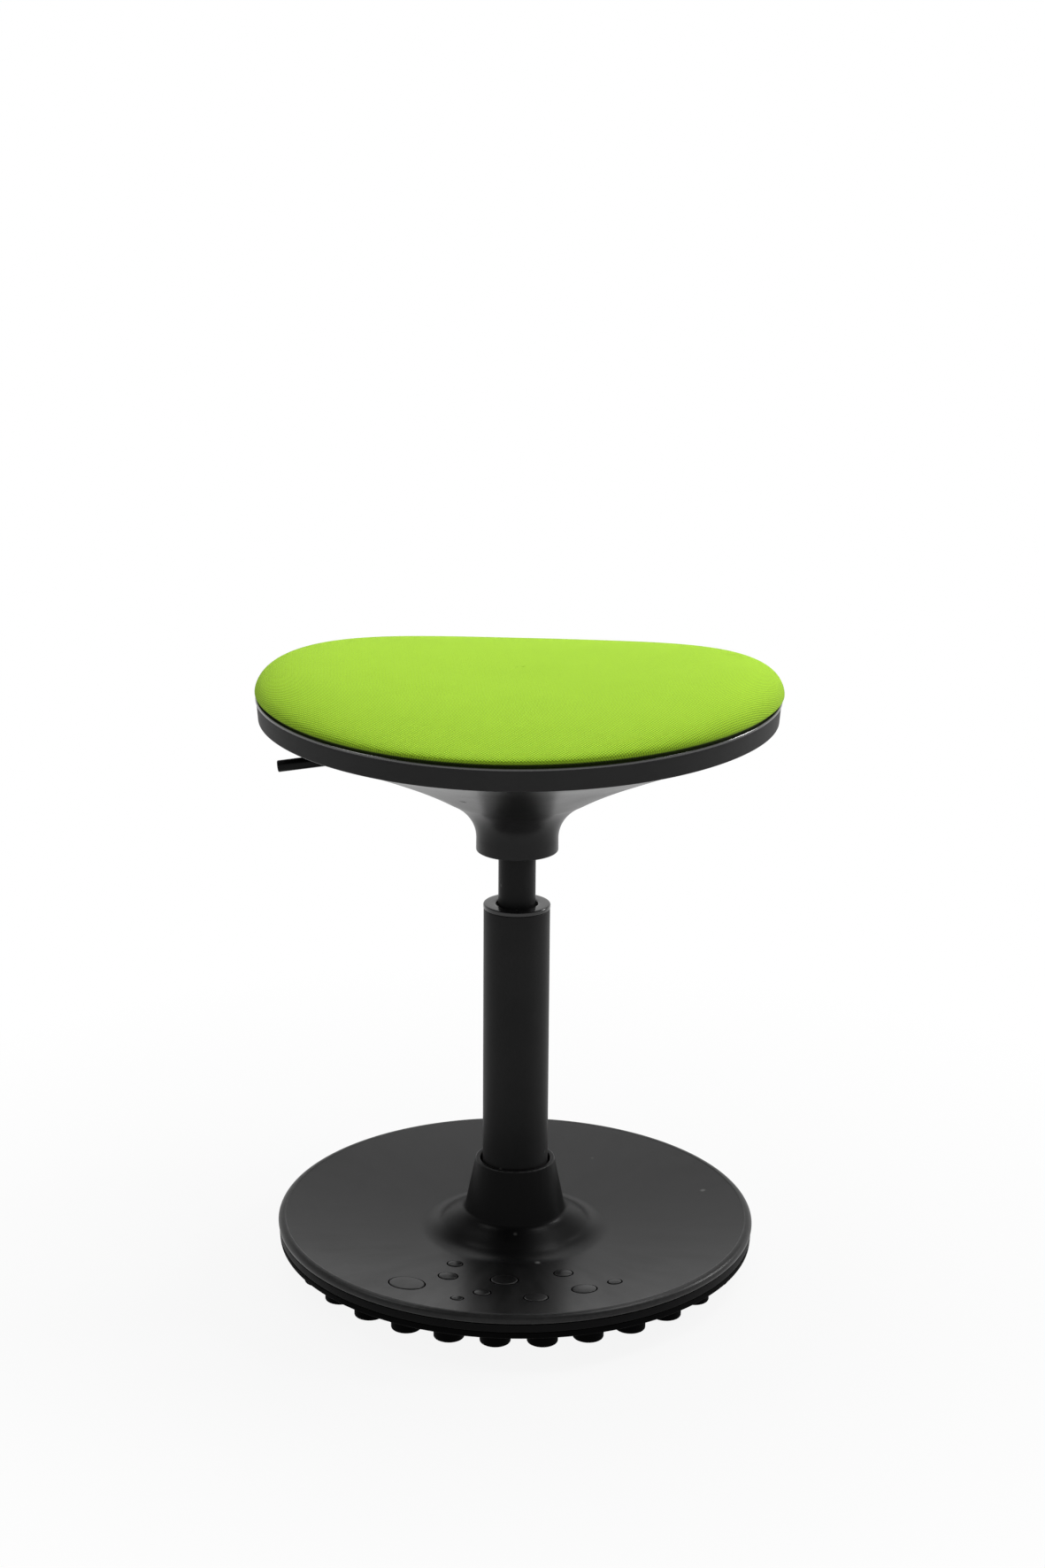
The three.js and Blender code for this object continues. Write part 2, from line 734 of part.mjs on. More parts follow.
// Guide bush: the long sleeve in the tube that the spring's cylinder slides in.
function guideBush() {
  const bore = cylinderRadius + runningGap;
  const body = bore + bushWall;
  const low = cylinderBottom + strokeLength + bushEngagement;
  const high = capBottom - fitGap;
  const rib = tubeTop - capSpigotDepth - fitGap;
  const outline = [
    [bore, low],
    [bushRibRadius, low],
    [bushRibRadius, low + bushRibHeight],
    [body, low + bushRibHeight],
    [body, rib - bushRibHeight],
    [bushRibRadius, rib - bushRibHeight],
    [bushRibRadius, rib],
    [body, rib],
    [body, high],
    [bore, high],
  ];
  return turned(outline, mediumSegments);
}

// Bearing race: a washer with a shallow ball track on one side.
function race(low, trackOnTop) {
  const bore = rodRadius + runningGap;
  const high = low + raceThickness;
  const face = trackOnTop ? high : low;
  const track = trackOnTop ? high - raceGrooveDepth : low + raceGrooveDepth;
  const back = trackOnTop ? low : high;
  const outline = [
    [bore, face],
    [ballCircle - ballRadius, face],
    [ballCircle, track],
    [ballCircle + ballRadius, face],
    [raceRadius, face],
    [raceRadius, back],
    [bore, back],
  ];
  return turned(outline, innerSegments);
}

// Balls held in their cage.
function ballCage() {
  const low = ballCentre - cageHalfHeight;
  const high = ballCentre + cageHalfHeight;
  const cage = ring(ballCircle - cageHalfWidth, ballCircle + cageHalfWidth, low, high, innerSegments);
  const ball = new THREE.SphereGeometry(ballRadius, ballSegments, ballSegments - 2).rotateX(Math.PI / 2);
  const balls = aroundAxis(ball.translate(0, 0, ballCentre), ballCount, ballCircle, 0);
  return shaped(cage, balls, []);
}

// Piston rod with a clip groove at its foot, a collar over the bearing and a stud for the piston.
function pistonRod() {
  const washerBottom = tubeFloor - fitGap - washerThickness;
  const grooveTop = washerBottom;
  const grooveBottom = grooveTop - clipThickness - fitGap * 2;
  const tip = grooveBottom - rodTipLength;
  const stud = rodRadius - rodEdge * 2;
  const outline = [
    [0, tip],
    [rodRadius - rodEdge, tip],
    [rodRadius, tip + rodEdge],
    [rodRadius, grooveBottom],
    [rodGrooveRadius, grooveBottom],
    [rodGrooveRadius, grooveTop],
    [rodRadius, grooveTop],
    [rodRadius, rodCollar],
    [rodCollarRadius, rodCollar],
    [rodCollarRadius, rodCollar + rodCollarHeight],
    [rodRadius, rodCollar + rodCollarHeight],
    [rodRadius, pistonBottom - fitGap],
    [stud, pistonBottom - fitGap],
    [stud, pistonTop + pistonNutHeight + rodTipLength],
    [0, pistonTop + pistonNutHeight + rodTipLength],
  ];
  return turned(outline, innerSegments);
}

// Washer under the tube's floor.
function rodWasher() {
  const high = tubeFloor - fitGap;
  return ring(rodRadius + fitGap, washerRadius, high - washerThickness, high, innerSegments);
}

// Spring clip in the rod's groove, open at one side.
function rodClip() {
  const high = tubeFloor - fitGap - washerThickness - fitGap;
  const low = high - clipThickness;
  const clip = ring(rodGrooveRadius + fitGap, clipRadius, low, high, innerSegments);
  const mouth = new THREE.BoxGeometry(clipRadius + cutOverrun, clipMouth, clipThickness + cutOverrun);
  mouth.translate((clipRadius + cutOverrun) / 2, 0, (low + high) / 2);
  return shaped(clip, [], [mouth]);
}

// Rubber bump stop on the rod's collar, with a waist.
function bumpStop() {
  const bore = rodRadius + fitGap;
  const top = bumperBottom + bumperHeight;
  const outline = [
    [bore, bumperBottom],
    [bumperRadius, bumperBottom],
    [bumperRadius - bumperWaist, (bumperBottom + top) / 2],
    [bumperRadius, top],
    [bore, top],
  ];
  return turned(outline, innerSegments);
}

// Piston with a groove for its ring.
function piston() {
  const bore = rodRadius - rodEdge * 2 + fitGap;
  const outer = cylinderBoreRadius - runningGap * 2;
  const middle = (pistonBottom + pistonTop) / 2;
  const groove = outer - pistonRingDepth;
  const half = pistonRingHeight / 2 + fitGap;
  const outline = [
    [bore, pistonBottom],
    [outer, pistonBottom],
    [outer, middle - half],
    [groove, middle - half],
    [groove, middle + half],
    [outer, middle + half],
    [outer, pistonTop],
    [bore, pistonTop],
  ];
  return turned(outline, innerSegments);
}

function pistonRing() {
  const middle = (pistonBottom + pistonTop) / 2;
  const groove = cylinderBoreRadius - runningGap * 2 - pistonRingDepth;
  const outer = cylinderBoreRadius - runningGap;
  const half = pistonRingHeight / 2;
  return ring(groove + fitGap, outer, middle - half, middle + half, innerSegments);
}

// Hexagon nut that holds the piston on its stud.
function pistonNut() {
  const low = pistonTop + fitGap;
  const bore = (rodRadius - rodEdge * 2 + fitGap) / Math.cos(Math.PI / nutSides);
  return ring(bore, pistonNutRadius, low, low + pistonNutHeight - fitGap, nutSides);
}

// Gas cylinder: open below, closed above round the release pin, with a slight taper where the seat grips it.
function gasCylinder() {
  const pinBore = pinRadius + runningGap;
  const topRadius = cylinderRadius - cylinderTaper;
  const outline = [
    [cylinderBoreRadius, cylinderBottom],
    [cylinderRadius, cylinderBottom],
    [cylinderRadius, cylinderTop - cylinderTaperLength],
    [topRadius, cylinderTop],
    [pinBore, cylinderTop],
    [pinBore, cylinderTop - cylinderCrown],
    [cylinderBoreRadius, cylinderTop - cylinderCrown],
  ];
  return turned(outline, mediumSegments);
}

function cylinderGland() {
  const outer = cylinderBoreRadius - fitGap;
  return ring(rodRadius + runningGap, outer, glandBottom, glandBottom + glandHeight, innerSegments);
}

function rodSeal() {
  const outer = cylinderBoreRadius - fitGap;
  return ring(rodRadius + runningGap, outer, sealBottom, sealBottom + sealHeight, innerSegments);
}

// Release pin: a valve stem through the cylinder's crown with a button that the lever presses.
function releasePin() {
  const outline = [
    [0, cylinderTop - pinStemDepth],
    [pinRadius, cylinderTop - pinStemDepth],
    [pinRadius, buttonBottom],
    [buttonRadius, buttonBottom],
    [buttonRadius, buttonTop - buttonEdge],
    [buttonRadius - buttonEdge, buttonTop],
    [0, buttonTop],
  ];
  return turned(outline, innerSegments);
}

// Outer radius of the gas cylinder at a height inside its taper.
function taperRadius(z) {
  const share = (z - cylinderTop + cylinderTaperLength) / cylinderTaperLength;
  return cylinderRadius - cylinderTaper * Math.min(Math.max(share, 0), 1);
}

// Taper socket: the steel sleeve that the cylinder's tapered end wedges into.
function taperSocket() {
  const low = cylinderTop - cylinderTaperLength;
  const high = panFloor + panThickness + socketProud;
  const outer = cylinderRadius + socketWall;
  const outline = [
    [taperRadius(low) + fitGap, low],
    [outer, low],
    [outer, high],
    [taperRadius(high) + fitGap, high],
  ];
  return turned(outline, mediumSegments);
}

// Mounting pan: a pressed steel dish that hangs the socket below the seat board and lets the lever out.
function mountingPan() {
  const socket = cylinderRadius + socketWall + fitGap;
  const line = [
    [socket, panFloor],
    [panFloorRadius, panFloor],
    [panFloorRadius + panBend, panFloor + panBend / 2],
    [panWallRadius - panBend / 2, panTop - panThickness - panBend],
    [panWallRadius + panBend, panTop - panThickness],
    [panFlangeRadius, panTop - panThickness],
  ];
  const window = new THREE.BoxGeometry(panWindowReach, panWindowWidth, panWindowHigh - panWindowLow);
  window.translate(-(panFloorRadius + panWallRadius) / 2, 0, panFloor + (panWindowHigh + panWindowLow) / 2);
  const hole = bar(panScrewRadius + fitGap, panFloor, panTop + cutOverrun, smallSegments);
  const holes = aroundAxis(hole, panScrewCount, panScrewCircle, 180 / panScrewCount);
  return shaped(turned(walled(line, line, panThickness), mediumSegments), [], [window, ...holes]);
}

function panScrew() {
  const low = panTop - panThickness - fitGap - panScrewHeadHeight;
  return screwUp(panScrewHeadRadius, panScrewHeadHeight, panScrewRadius, low, boardBottom + panScrewDepth);
}

// Lever bracket: a folded strap welded to the pan's floor with two ears for the pivot pin.
function leverBracket() {
  const gap = leverBlockWidth / 2 + fitGap;
  const low = panFloor + panThickness + fitGap;
  const top = leverPivotHeight + bracketEarTop;
  const x = -leverPivotOffset;
  const strap = new THREE.BoxGeometry(bracketLength, (gap + bracketEarThickness) * 2, bracketBaseThickness);
  strap.translate(x, 0, low + bracketBaseThickness / 2);
  const ears = [-1, 1].map((side) => {
    const ear = new THREE.BoxGeometry(bracketLength, bracketEarThickness, top - low);
    return ear.translate(x, side * (gap + bracketEarThickness / 2), (top + low) / 2);
  });
  const reach = gap + bracketEarThickness + cutOverrun;
  const hole = crossBar(leverPivotRadius + runningGap, reach);
  return shaped(strap, ears, [hole.translate(x, 0, leverPivotHeight)]);
}

// A round bar along Y, centred on the origin.
function crossBar(radius, reach) {
  return bar(radius, -reach, reach, smallSegments).rotateX(Math.PI / 2);
}

// Pivot pin through the bracket's ears, headed at both ends.
function leverPin() {
  const ear = leverBlockWidth / 2 + fitGap + bracketEarThickness + fitGap;
  const end = ear + leverPinHeadHeight;
  const outline = [
    [0, -end],
    [leverPinHeadRadius, -end],
    [leverPinHeadRadius, -ear],
    [leverPivotRadius, -ear],
    [leverPivotRadius, ear],
    [leverPinHeadRadius, ear],
    [leverPinHeadRadius, end],
    [0, end],
  ];
  const pin = turned(outline, smallSegments).rotateX(Math.PI / 2);
  return pin.translate(-leverPivotOffset, 0, leverPivotHeight);
}

// Release lever: a round rod with a rounded tip, pressed into a pivot block whose nose lies over the button.
function releaseLever() {
  const length = (leverReach - leverPivotOffset) / Math.cos(leverDroop);
  const outline = [
    [0, 0],
    [leverRodRadius, 0],
    [leverRodRadius, length - leverTipRadius],
    [leverRodRadius - leverTipRadius, length],
    [0, length],
  ];
  const rod = turned(outline, smallSegments).rotateY(-Math.PI / 2);
  const block = new THREE.BoxGeometry(leverBlockLength, leverBlockWidth, leverBlockHeight);
  const nose = new THREE.BoxGeometry(leverNoseReach, leverNoseWidth, leverNoseDepth + leverNoseHeight);
  nose.translate(leverNoseReach / 2, 0, (leverNoseHeight - leverNoseDepth) / 2);
  const hole = crossBar(leverPivotRadius + runningGap, leverBlockWidth);
  const lever = shaped(rod, [block, nose], [hole]);
  return lever.rotateY(-leverDroop).translate(-leverPivotOffset, 0, leverPivotHeight);
}

// Outer line of the seat shell, from the hole in its boss up the trumpet, out along the bowl and up the rim.
function shellLine(steps) {
  const path = new THREE.Path();
  const waist = bossRadius - bossWaistInset;
  const waistTop = bossBottom + bossWaistRise;
  const rimBottom = bossBottom + rimBottomRise;
  path.moveTo(bossHoleRadius, bossBottom);
  path.lineTo(bossRadius - bossEdge, bossBottom);
  path.lineTo(bossRadius, bossBottom + bossEdge);
  path.lineTo(waist, waistTop);
  path.bezierCurveTo(
    waist,
    waistTop + trumpetStartReach,
    trumpetRadius - trumpetEndReach,
    bossBottom + trumpetRise - trumpetEndDrop,
    trumpetRadius,
    bossBottom + trumpetRise,
  );
  path.quadraticCurveTo(bowlSwellRadius, bossBottom + bowlSwellRise, bowlRadius, bossBottom + bowlRise);
  path.lineTo(rimBottomRadius, rimBottom);
  path.lineTo(rimRadius, rimBottom + rimCorner);
  path.lineTo(rimRadius, rimTop);
  return traced(path, steps);
}

// A long slot with round ends, along -X from the axis, cut right through.
function leverSlot() {
  const half = leverSlotWidth / 2;
  const shape = new THREE.Shape();
  shape.absarc(-leverSlotInner - half, 0, half, -Math.PI / 2, Math.PI / 2, false);
  shape.absarc(-leverSlotOuter + half, 0, half, Math.PI / 2, Math.PI * 1.5, false);
  const slot = new THREE.ExtrudeGeometry(shape, {
    depth: ledgeRise - trumpetRise,
    bevelEnabled: false,
    curveSegments: curveSteps,
  });
  return slot.translate(0, 0, bossBottom + trumpetRise);
}

// Seat shell: trumpet boss, shallow bowl and upright rim in one moulding, with a ledge and four screw towers.
function seatShell() {
  const shell = turned(walled(shellLine(curveSteps), shellLine(liningSteps), shellWall), largeSegments);
  const ledgeTop = bossBottom + ledgeRise;
  const ledgeOuter = innerRimRadius + shellWall / 2;
  const ledge = turned(
    [
      [innerRimRadius - ledgeWidth, ledgeTop],
      [innerRimRadius - ledgeWidth, ledgeTop - ledgeDepth],
      [ledgeOuter, ledgeTop - ledgeDepth / 2],
      [ledgeOuter, ledgeTop],
    ],
    largeSegments,
  );
  const bowlLine = shellLine(curveSteps);
  const bowlAt = (radius) => {
    const next = bowlLine.findIndex(([r, z]) => r > radius && z > bossBottom + trumpetRise);
    const [r0, z0] = bowlLine[next - 1];
    const [r1, z1] = bowlLine[next];
    return z0 + ((z1 - z0) * (radius - r0)) / (r1 - r0);
  };
  const root = bowlAt(towerCircle + towerRadius) + fitGap;
  const tower = bar(towerRadius, root, ledgeTop, smallSegments);
  const shank = bar(shellScrewRadius + fitGap, root, ledgeTop + cutOverrun, fastenerSegments);
  const head = bar(shellScrewHeadRadius + fitGap, bossBottom, ledgeTop - shellScrewSeat, smallSegments);
  const around = (geometry) => aroundAxis(geometry, towerCount, towerCircle, towerBearingDegrees);
  return shaped(shell, [ledge, ...around(tower)], [...around(shank), ...around(head), leverSlot()]);
}

function shellScrew() {
  const low = bossBottom + ledgeRise - shellScrewSeat - fitGap - shellScrewHeadHeight;
  return screwUp(shellScrewHeadRadius, shellScrewHeadHeight, shellScrewRadius, low, boardBottom + shellScrewDepth);
}

// Seat board: round plywood with eased edges and blind screw holes from below.
function seatBoard() {
  const outline = [
    [0, boardBottom],
    [boardRadius - boardEdge, boardBottom],
    [boardRadius, boardBottom + boardEdge],
    [boardRadius, boardTop - boardEdge],
    [boardRadius - boardEdge, boardTop],
    [0, boardTop],
  ];
  const low = boardBottom - cutOverrun;
  const panHole = bar(panScrewRadius + fitGap, low, boardBottom + panScrewDepth + fitGap, fastenerSegments);
  const shellHole = bar(shellScrewRadius + fitGap, low, boardBottom + shellScrewDepth + fitGap, fastenerSegments);
  return shaped(turned(outline, largeSegments), [], [
    ...aroundAxis(panHole, panScrewCount, panScrewCircle, 180 / panScrewCount),
    ...aroundAxis(shellHole, towerCount, towerCircle, towerBearingDegrees),
  ]);
}

// Points over the cushion from its middle to its widest line, at a bearing and a depth below the outside.
// The height is a crown plus a saddle that rises to the sides, both rolled off towards the edge.
function cushionTop(bearing, depth, stepShares) {
  const widest = bossBottom + cushionWidestRise;
  const sway = Math.cos(2 * (bearing - saddleBearingDegrees * degree));
  return stepShares.map((share) => {
    const roll = (1 - share ** cushionFlatness) ** (1 / cushionRoll);
    const rise = roll * cushionCrown + (saddleHeight * roll + saddleLean) * share * share * sway;
    return [(cushionRadius - depth) * share, widest + rise - depth * roll];
  });
}

// Points from the cushion's widest line down to where it tucks in behind the rim.
function cushionSide(depth) {
  const tuck = bossBottom + cushionTuckRise;
  return [
    [cushionRadius - cushionTuckInset - depth, tuck + depth / 2],
    [hemRadius - depth, rimTop + depth / 2],
  ];
}

// Foam pad: crowned saddle on the flat board.
function seatFoam() {
  const depth = fabricThickness + fitGap;
  const foot = boardTop + fitGap;
  return lofted((bearing) => {
    const top = cushionTop(bearing, depth, liningStepShares);
    return [...top, ...cushionSide(depth), [hemRadius - depth, foot], [0, foot]];
  }, cushionSegments);
}

// Fabric cover: one skin over the foam, tucked between the board and the rim down to its hem.
function seatFabric() {
  const hem = rimTop - hemHeight;
  return lofted((bearing) => {
    const top = cushionTop(bearing, 0, cushionStepShares);
    const lining = cushionTop(bearing, fabricThickness, liningStepShares);
    const inside = [...lining, ...cushionSide(fabricThickness), [hemRadius - fabricThickness, hem]];
    return [...top, ...cushionSide(0), [hemRadius, hem], ...inside.reverse()];
  }, cushionSegments);
}

// Base: everything that rocks on the floor and carries the column.
const base = new THREE.Group();
base.add(
  piece("rubber_sole", rubberSole(), "rubber"),
  piece("base_tray", baseTray(), "tray"),
  piece("ballast_plate", ballastPlate(), "castIron"),
  piece("hub_socket", hubSocket(), "steel"),
  ...fasteners("hub_bolt", hubBolt(), hubBoltCount, hubBoltCircle, 0, "steel"),
  piece("base_cover", baseCover(), "cover"),
  ...fasteners("base_screw", baseScrew(), baseScrewCount, coverBossCircle, 0, "steel"),
  piece("column_tube", columnTube(), "powderCoat"),
  piece("tube_cap", tubeCap(), "gloss"),
  piece("guide_bush", guideBush(), "guide"),
  piece("bearing_lower_race", race(lowerRace, true), "steel"),
);

// Rod: what turns with the seat but stays at one height.
const rod = new THREE.Group();
rod.add(
  piece("bearing_cage", ballCage(), "steel"),
  piece("bearing_upper_race", race(upperRace, false), "steel"),
  piece("piston_rod", pistonRod(), "steel"),
  piece("rod_washer", rodWasher(), "steel"),
  piece("rod_clip", rodClip(), "steel"),
  piece("bump_stop", bumpStop(), "rubber"),
  piece("piston", piston(), "steel"),
  piece("piston_ring", pistonRing(), "rubber"),
  piece("piston_nut", pistonNut(), "steel"),
);

// Seat: what rises and turns with the sitter.
const seat = new THREE.Group();
const panStart = 180 / panScrewCount;
seat.add(
  piece("gas_cylinder", gasCylinder(), "powderCoat"),
  piece("cylinder_gland", cylinderGland(), "steel"),
  piece("rod_seal", rodSeal(), "rubber"),
  piece("release_pin", releasePin(), "steel"),
  piece("taper_socket", taperSocket(), "steel"),
  piece("mounting_pan", mountingPan(), "steel"),
  ...fasteners("pan_screw", panScrew(), panScrewCount, panScrewCircle, panStart, "steel"),
  piece("lever_bracket", leverBracket(), "steel"),
  piece("lever_pin", leverPin(), "steel"),
  piece("release_lever", releaseLever(), "powderCoat"),
  piece("seat_shell", seatShell(), "shell"),
  ...fasteners("shell_screw", shellScrew(), towerCount, towerCircle, towerBearingDegrees, "steel"),
  piece("seat_board", seatBoard(), "wood"),
  piece("seat_foam", seatFoam(), "foam"),
  piece("seat_fabric", seatFabric(), "fabric"),
);

const stool = new THREE.Group();
stool.add(base, rod, seat);

export default stool;
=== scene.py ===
import json
import math
import types

import bmesh
import bpy
import numpy as np
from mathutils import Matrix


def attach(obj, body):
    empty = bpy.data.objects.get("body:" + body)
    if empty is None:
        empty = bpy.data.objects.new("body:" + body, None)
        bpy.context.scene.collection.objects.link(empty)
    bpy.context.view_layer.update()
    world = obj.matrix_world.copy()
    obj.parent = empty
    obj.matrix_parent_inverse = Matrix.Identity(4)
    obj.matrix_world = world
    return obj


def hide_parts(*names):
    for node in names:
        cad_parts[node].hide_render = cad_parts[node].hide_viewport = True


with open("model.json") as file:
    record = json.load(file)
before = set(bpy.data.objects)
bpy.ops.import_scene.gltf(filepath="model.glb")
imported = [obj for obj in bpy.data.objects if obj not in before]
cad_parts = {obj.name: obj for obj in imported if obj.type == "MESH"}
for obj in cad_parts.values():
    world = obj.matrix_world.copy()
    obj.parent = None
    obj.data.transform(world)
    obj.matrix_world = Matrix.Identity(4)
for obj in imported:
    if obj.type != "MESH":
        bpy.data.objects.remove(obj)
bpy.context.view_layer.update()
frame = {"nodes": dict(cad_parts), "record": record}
print("stage: frame loaded,", len(frame["nodes"]), "nodes")

mm = 0.001
turn = 2 * math.pi
weldReach = 1e-7
tiny = 1e-9


def named(values):
    # A dictionary of values, to be read by dot.
    return types.SimpleNamespace(**values)


# Surfaces: profiles of (r, z) in mm, and the meshes made from them.

def bendTo(a, b, c, d, steps):
    # A cubic Bezier curve, the start left out: (1-t)^3 a + 3(1-t)^2 t b + 3(1-t) t^2 c + t^3 d.
    t = np.linspace(0, 1, steps + 1)[1:, None]
    a, b, c, d = (np.array(p, float) for p in (a, b, c, d))
    return (1 - t) ** 3 * a + 3 * (1 - t) ** 2 * t * b + 3 * (1 - t) * t ** 2 * c + t ** 3 * d


def rounded(corners, closed=True, steps=5):
    # Straight lines between (r, z, radius) corners, each corner replaced by an arc of its radius. The arc
    # starts radius * tan(half the turn) before the corner, and its points are spread evenly by angle.
    corners = [np.array(c, float) for c in corners]
    count, made = len(corners), []
    for i, corner in enumerate(corners):
        radius, here = corner[2], corner[:2]
        if radius <= 0 or (not closed and i in (0, count - 1)):
            made.append(here[None])
            continue
        into = here - corners[i - 1][:2]
        out = corners[(i + 1) % count][:2] - here
        into, out = into / np.linalg.norm(into), out / np.linalg.norm(out)
        angle = math.atan2(into[0] * out[1] - into[1] * out[0], into @ out)
        first = here - into * radius * math.tan(abs(angle) / 2)
        side = np.array([-into[1], into[0]]) * math.copysign(1, angle)
        centre = first + side * radius
        swept = np.linspace(0, angle, steps + 1)[:, None]
        spoke = first - centre
        made.append(centre + np.hstack([spoke[0] * np.cos(swept) - spoke[1] * np.sin(swept),
                                        spoke[0] * np.sin(swept) + spoke[1] * np.cos(swept)]))
    return np.vstack(made)


def densified(profile, longest, closed=True):
    # Points added on each stretch of a profile that is longer than the given length.
    ends = np.vstack([profile[1:], profile[:1]]) if closed else profile[1:]
    made = []
    for a, b in zip(profile, ends):
        steps = max(1, int(np.ceil(np.linalg.norm(b - a) / longest)))
        made.append(a + (b - a) * (np.arange(steps) / steps)[:, None])
    if not closed:
        made.append(profile[-1:])
    return np.vstack(made)


def convexShare(profile, closed, shortest=0.05):
    # How sharply a profile turns outwards at each point, from 0 to 1: its turn over its length, in 1/mm.
    before, after = np.roll(profile, 1, 0), np.roll(profile, -1, 0)
    into, out = profile - before, after - profile
    angle = np.arctan2(into[:, 0] * out[:, 1] - into[:, 1] * out[:, 0], (into * out).sum(1))
    length = (np.linalg.norm(into, axis=1) + np.linalg.norm(out, axis=1)) / 2
    share = np.clip(angle / np.maximum(length, shortest), 0, 1)
    if not closed:
        share[[0, -1]] = 0
    return share


def gridQuads(rows, columns, closedRows):
    # Four-sided faces of a grid whose columns close round, and whose rows may close as well.
    row, column = np.meshgrid(np.arange(rows if closedRows else rows - 1), np.arange(columns),
                              indexing="ij")
    nextRow, nextColumn = (row + 1) % rows, (column + 1) % columns
    quads = np.stack([row * columns + column, row * columns + nextColumn,
                      nextRow * columns + nextColumn, nextRow * columns + column], -1)
    return quads.reshape(-1, 4)


def turned(profile, segments, closed=True):
    # A profile carried round Z: x = r cos a, y = r sin a, z = z. Gives points, faces and edge shares.
    around = np.arange(segments) / segments * turn
    r, z = profile[:, 0:1] * mm, profile[:, 1:2] * mm
    points = np.stack([r * np.cos(around), r * np.sin(around), z + 0 * around], -1).reshape(-1, 3)
    shares = np.repeat(convexShare(profile, closed), segments)
    return points, gridQuads(len(profile), segments, closed), shares


def lathed(corners, longest, segments):
    # A closed outline of (r, z, radius) corners, its long sides cut up, carried round Z.
    return turned(densified(rounded(corners), longest), segments)


def gathered(parts):
    # Several surfaces as one: points joined end to end, faces counted on.
    points, quads, shares, start = [], [], [], 0
    for p, q, s in parts:
        points.append(p)
        quads.append(q + start)
        shares.append(s)
        start += len(p)
    return np.vstack(points), np.vstack(quads), np.concatenate(shares)


def moved(surface, offset=(0, 0, 0), tilt=0, bearing=0):
    # A surface leaned about Y by the tilt, shifted by the offset in mm, then swung round Z by the bearing.
    points, quads, shares = surface
    c, s = math.cos(tilt), math.sin(tilt)
    points = points @ np.array([[c, 0, -s], [0, 1, 0], [s, 0, c]]) + np.array(offset) * mm
    c, s = math.cos(bearing), math.sin(bearing)
    return points @ np.array([[c, s, 0], [-s, c, 0], [0, 0, 1]]), quads, shares


def smoothed(mesh):
    mesh.polygons.foreach_set("use_smooth", np.ones(len(mesh.polygons), bool))


def welded(mesh, extra=None):
    # A mesh whose doubled points are made one, with another mesh added to it first if one is given.
    work = bmesh.new()
    work.from_mesh(mesh)
    if extra:
        work.from_mesh(extra)
    else:
        bmesh.ops.remove_doubles(work, verts=work.verts, dist=weldReach)
    work.to_mesh(mesh)
    work.free()


def makePiece(name, surface, body=None, stands=(), slot=None, weld=True):
    # A mesh object from points and four-sided faces, its poles welded, shaded smooth and dressed.
    points, quads, shares = surface
    mesh = bpy.data.meshes.new(name)
    mesh.vertices.add(len(points))
    mesh.vertices.foreach_set("co", points.astype(np.float32).ravel())
    mesh.loops.add(quads.size)
    mesh.loops.foreach_set("vertex_index", quads.astype(np.int32).ravel())
    mesh.polygons.add(len(quads))
    mesh.polygons.foreach_set("loop_start", (np.arange(len(quads)) * 4).astype(np.int32))
    mesh.update(calc_edges=True)
    mesh.attributes.new("edgeShare", "FLOAT", "POINT").data.foreach_set("value", shares.astype(np.float32))
    if weld:
        welded(mesh)
    smoothed(mesh)
    piece = bpy.data.objects.new(name, mesh)
    bpy.context.scene.collection.objects.link(piece)
    if body:
        mesh.materials.append(materials[slot])
        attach(piece, body)
        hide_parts(*stands)
    return piece


def evaluatedMesh(piece):
    bpy.context.view_layer.update()
    return bpy.data.meshes.new_from_object(piece.evaluated_get(bpy.context.evaluated_depsgraph_get()))


def swapMesh(piece, mesh):
    piece.modifiers.clear()
    old, piece.data = piece.data, mesh
    bpy.data.meshes.remove(old)


def cutAway(piece, cutter, sharpDegrees=35):
    # What the cutter holds is taken out of the piece for good, and edges sharper than the angle are kept
    # crisp.
    tool = makePiece("cutter", cutter)
    cut = piece.modifiers.new("cut", "BOOLEAN")
    cut.operation, cut.solver, cut.object = "DIFFERENCE", "EXACT", tool
    swapMesh(piece, evaluatedMesh(piece))
    bpy.data.objects.remove(tool)
    smoothed(piece.data)
    piece.data.set_sharp_from_angle(angle=math.radians(sharpDegrees))


def joinSurface(piece, surface):
    # A second surface is added to a finished piece's own mesh.
    extra = makePiece("extra", surface)
    welded(piece.data, extra.data)
    bpy.data.objects.remove(extra)


# Shader nodes, and the groups that several materials share.

def put(tree, kind, inputs=None, **settings):
    # One node: settings are its own properties, inputs are numbers, colours or sockets to link from.
    node = tree.nodes.new(kind)
    for name, value in settings.items():
        setattr(node, name, value)
    for name, value in (inputs or {}).items():
        setSocket(tree, node.inputs[name], value)
    return node


def setSocket(tree, socket, value):
    if isinstance(value, bpy.types.NodeSocket):
        tree.links.new(value, socket)
    else:
        socket.default_value = value


def sums(tree, operation, *values, clamp=False):
    node = put(tree, "ShaderNodeMath", dict(enumerate(values)), operation=operation, use_clamp=clamp)
    return node.outputs[0]


def times(tree, a, b, clamp=False):
    return sums(tree, "MULTIPLY", a, b, clamp=clamp)


def blended(tree, factor, low, high):
    # A colour from low to high by the factor; colours without an alpha get one.
    low, high = ((*value, 1) if isinstance(value, tuple) else value for value in (low, high))
    node = put(tree, "ShaderNodeMix", data_type="RGBA", clamp_factor=True)
    for socket, value in zip((node.inputs[0], node.inputs[6], node.inputs[7]), (factor, low, high)):
        setSocket(tree, socket, value)
    return node.outputs[2]


def spread(tree, value, fromLow, fromHigh, toLow, toHigh):
    limits = {0: value, 1: fromLow, 2: fromHigh, 3: toLow, 4: toHigh}
    return put(tree, "ShaderNodeMapRange", limits).outputs[0]


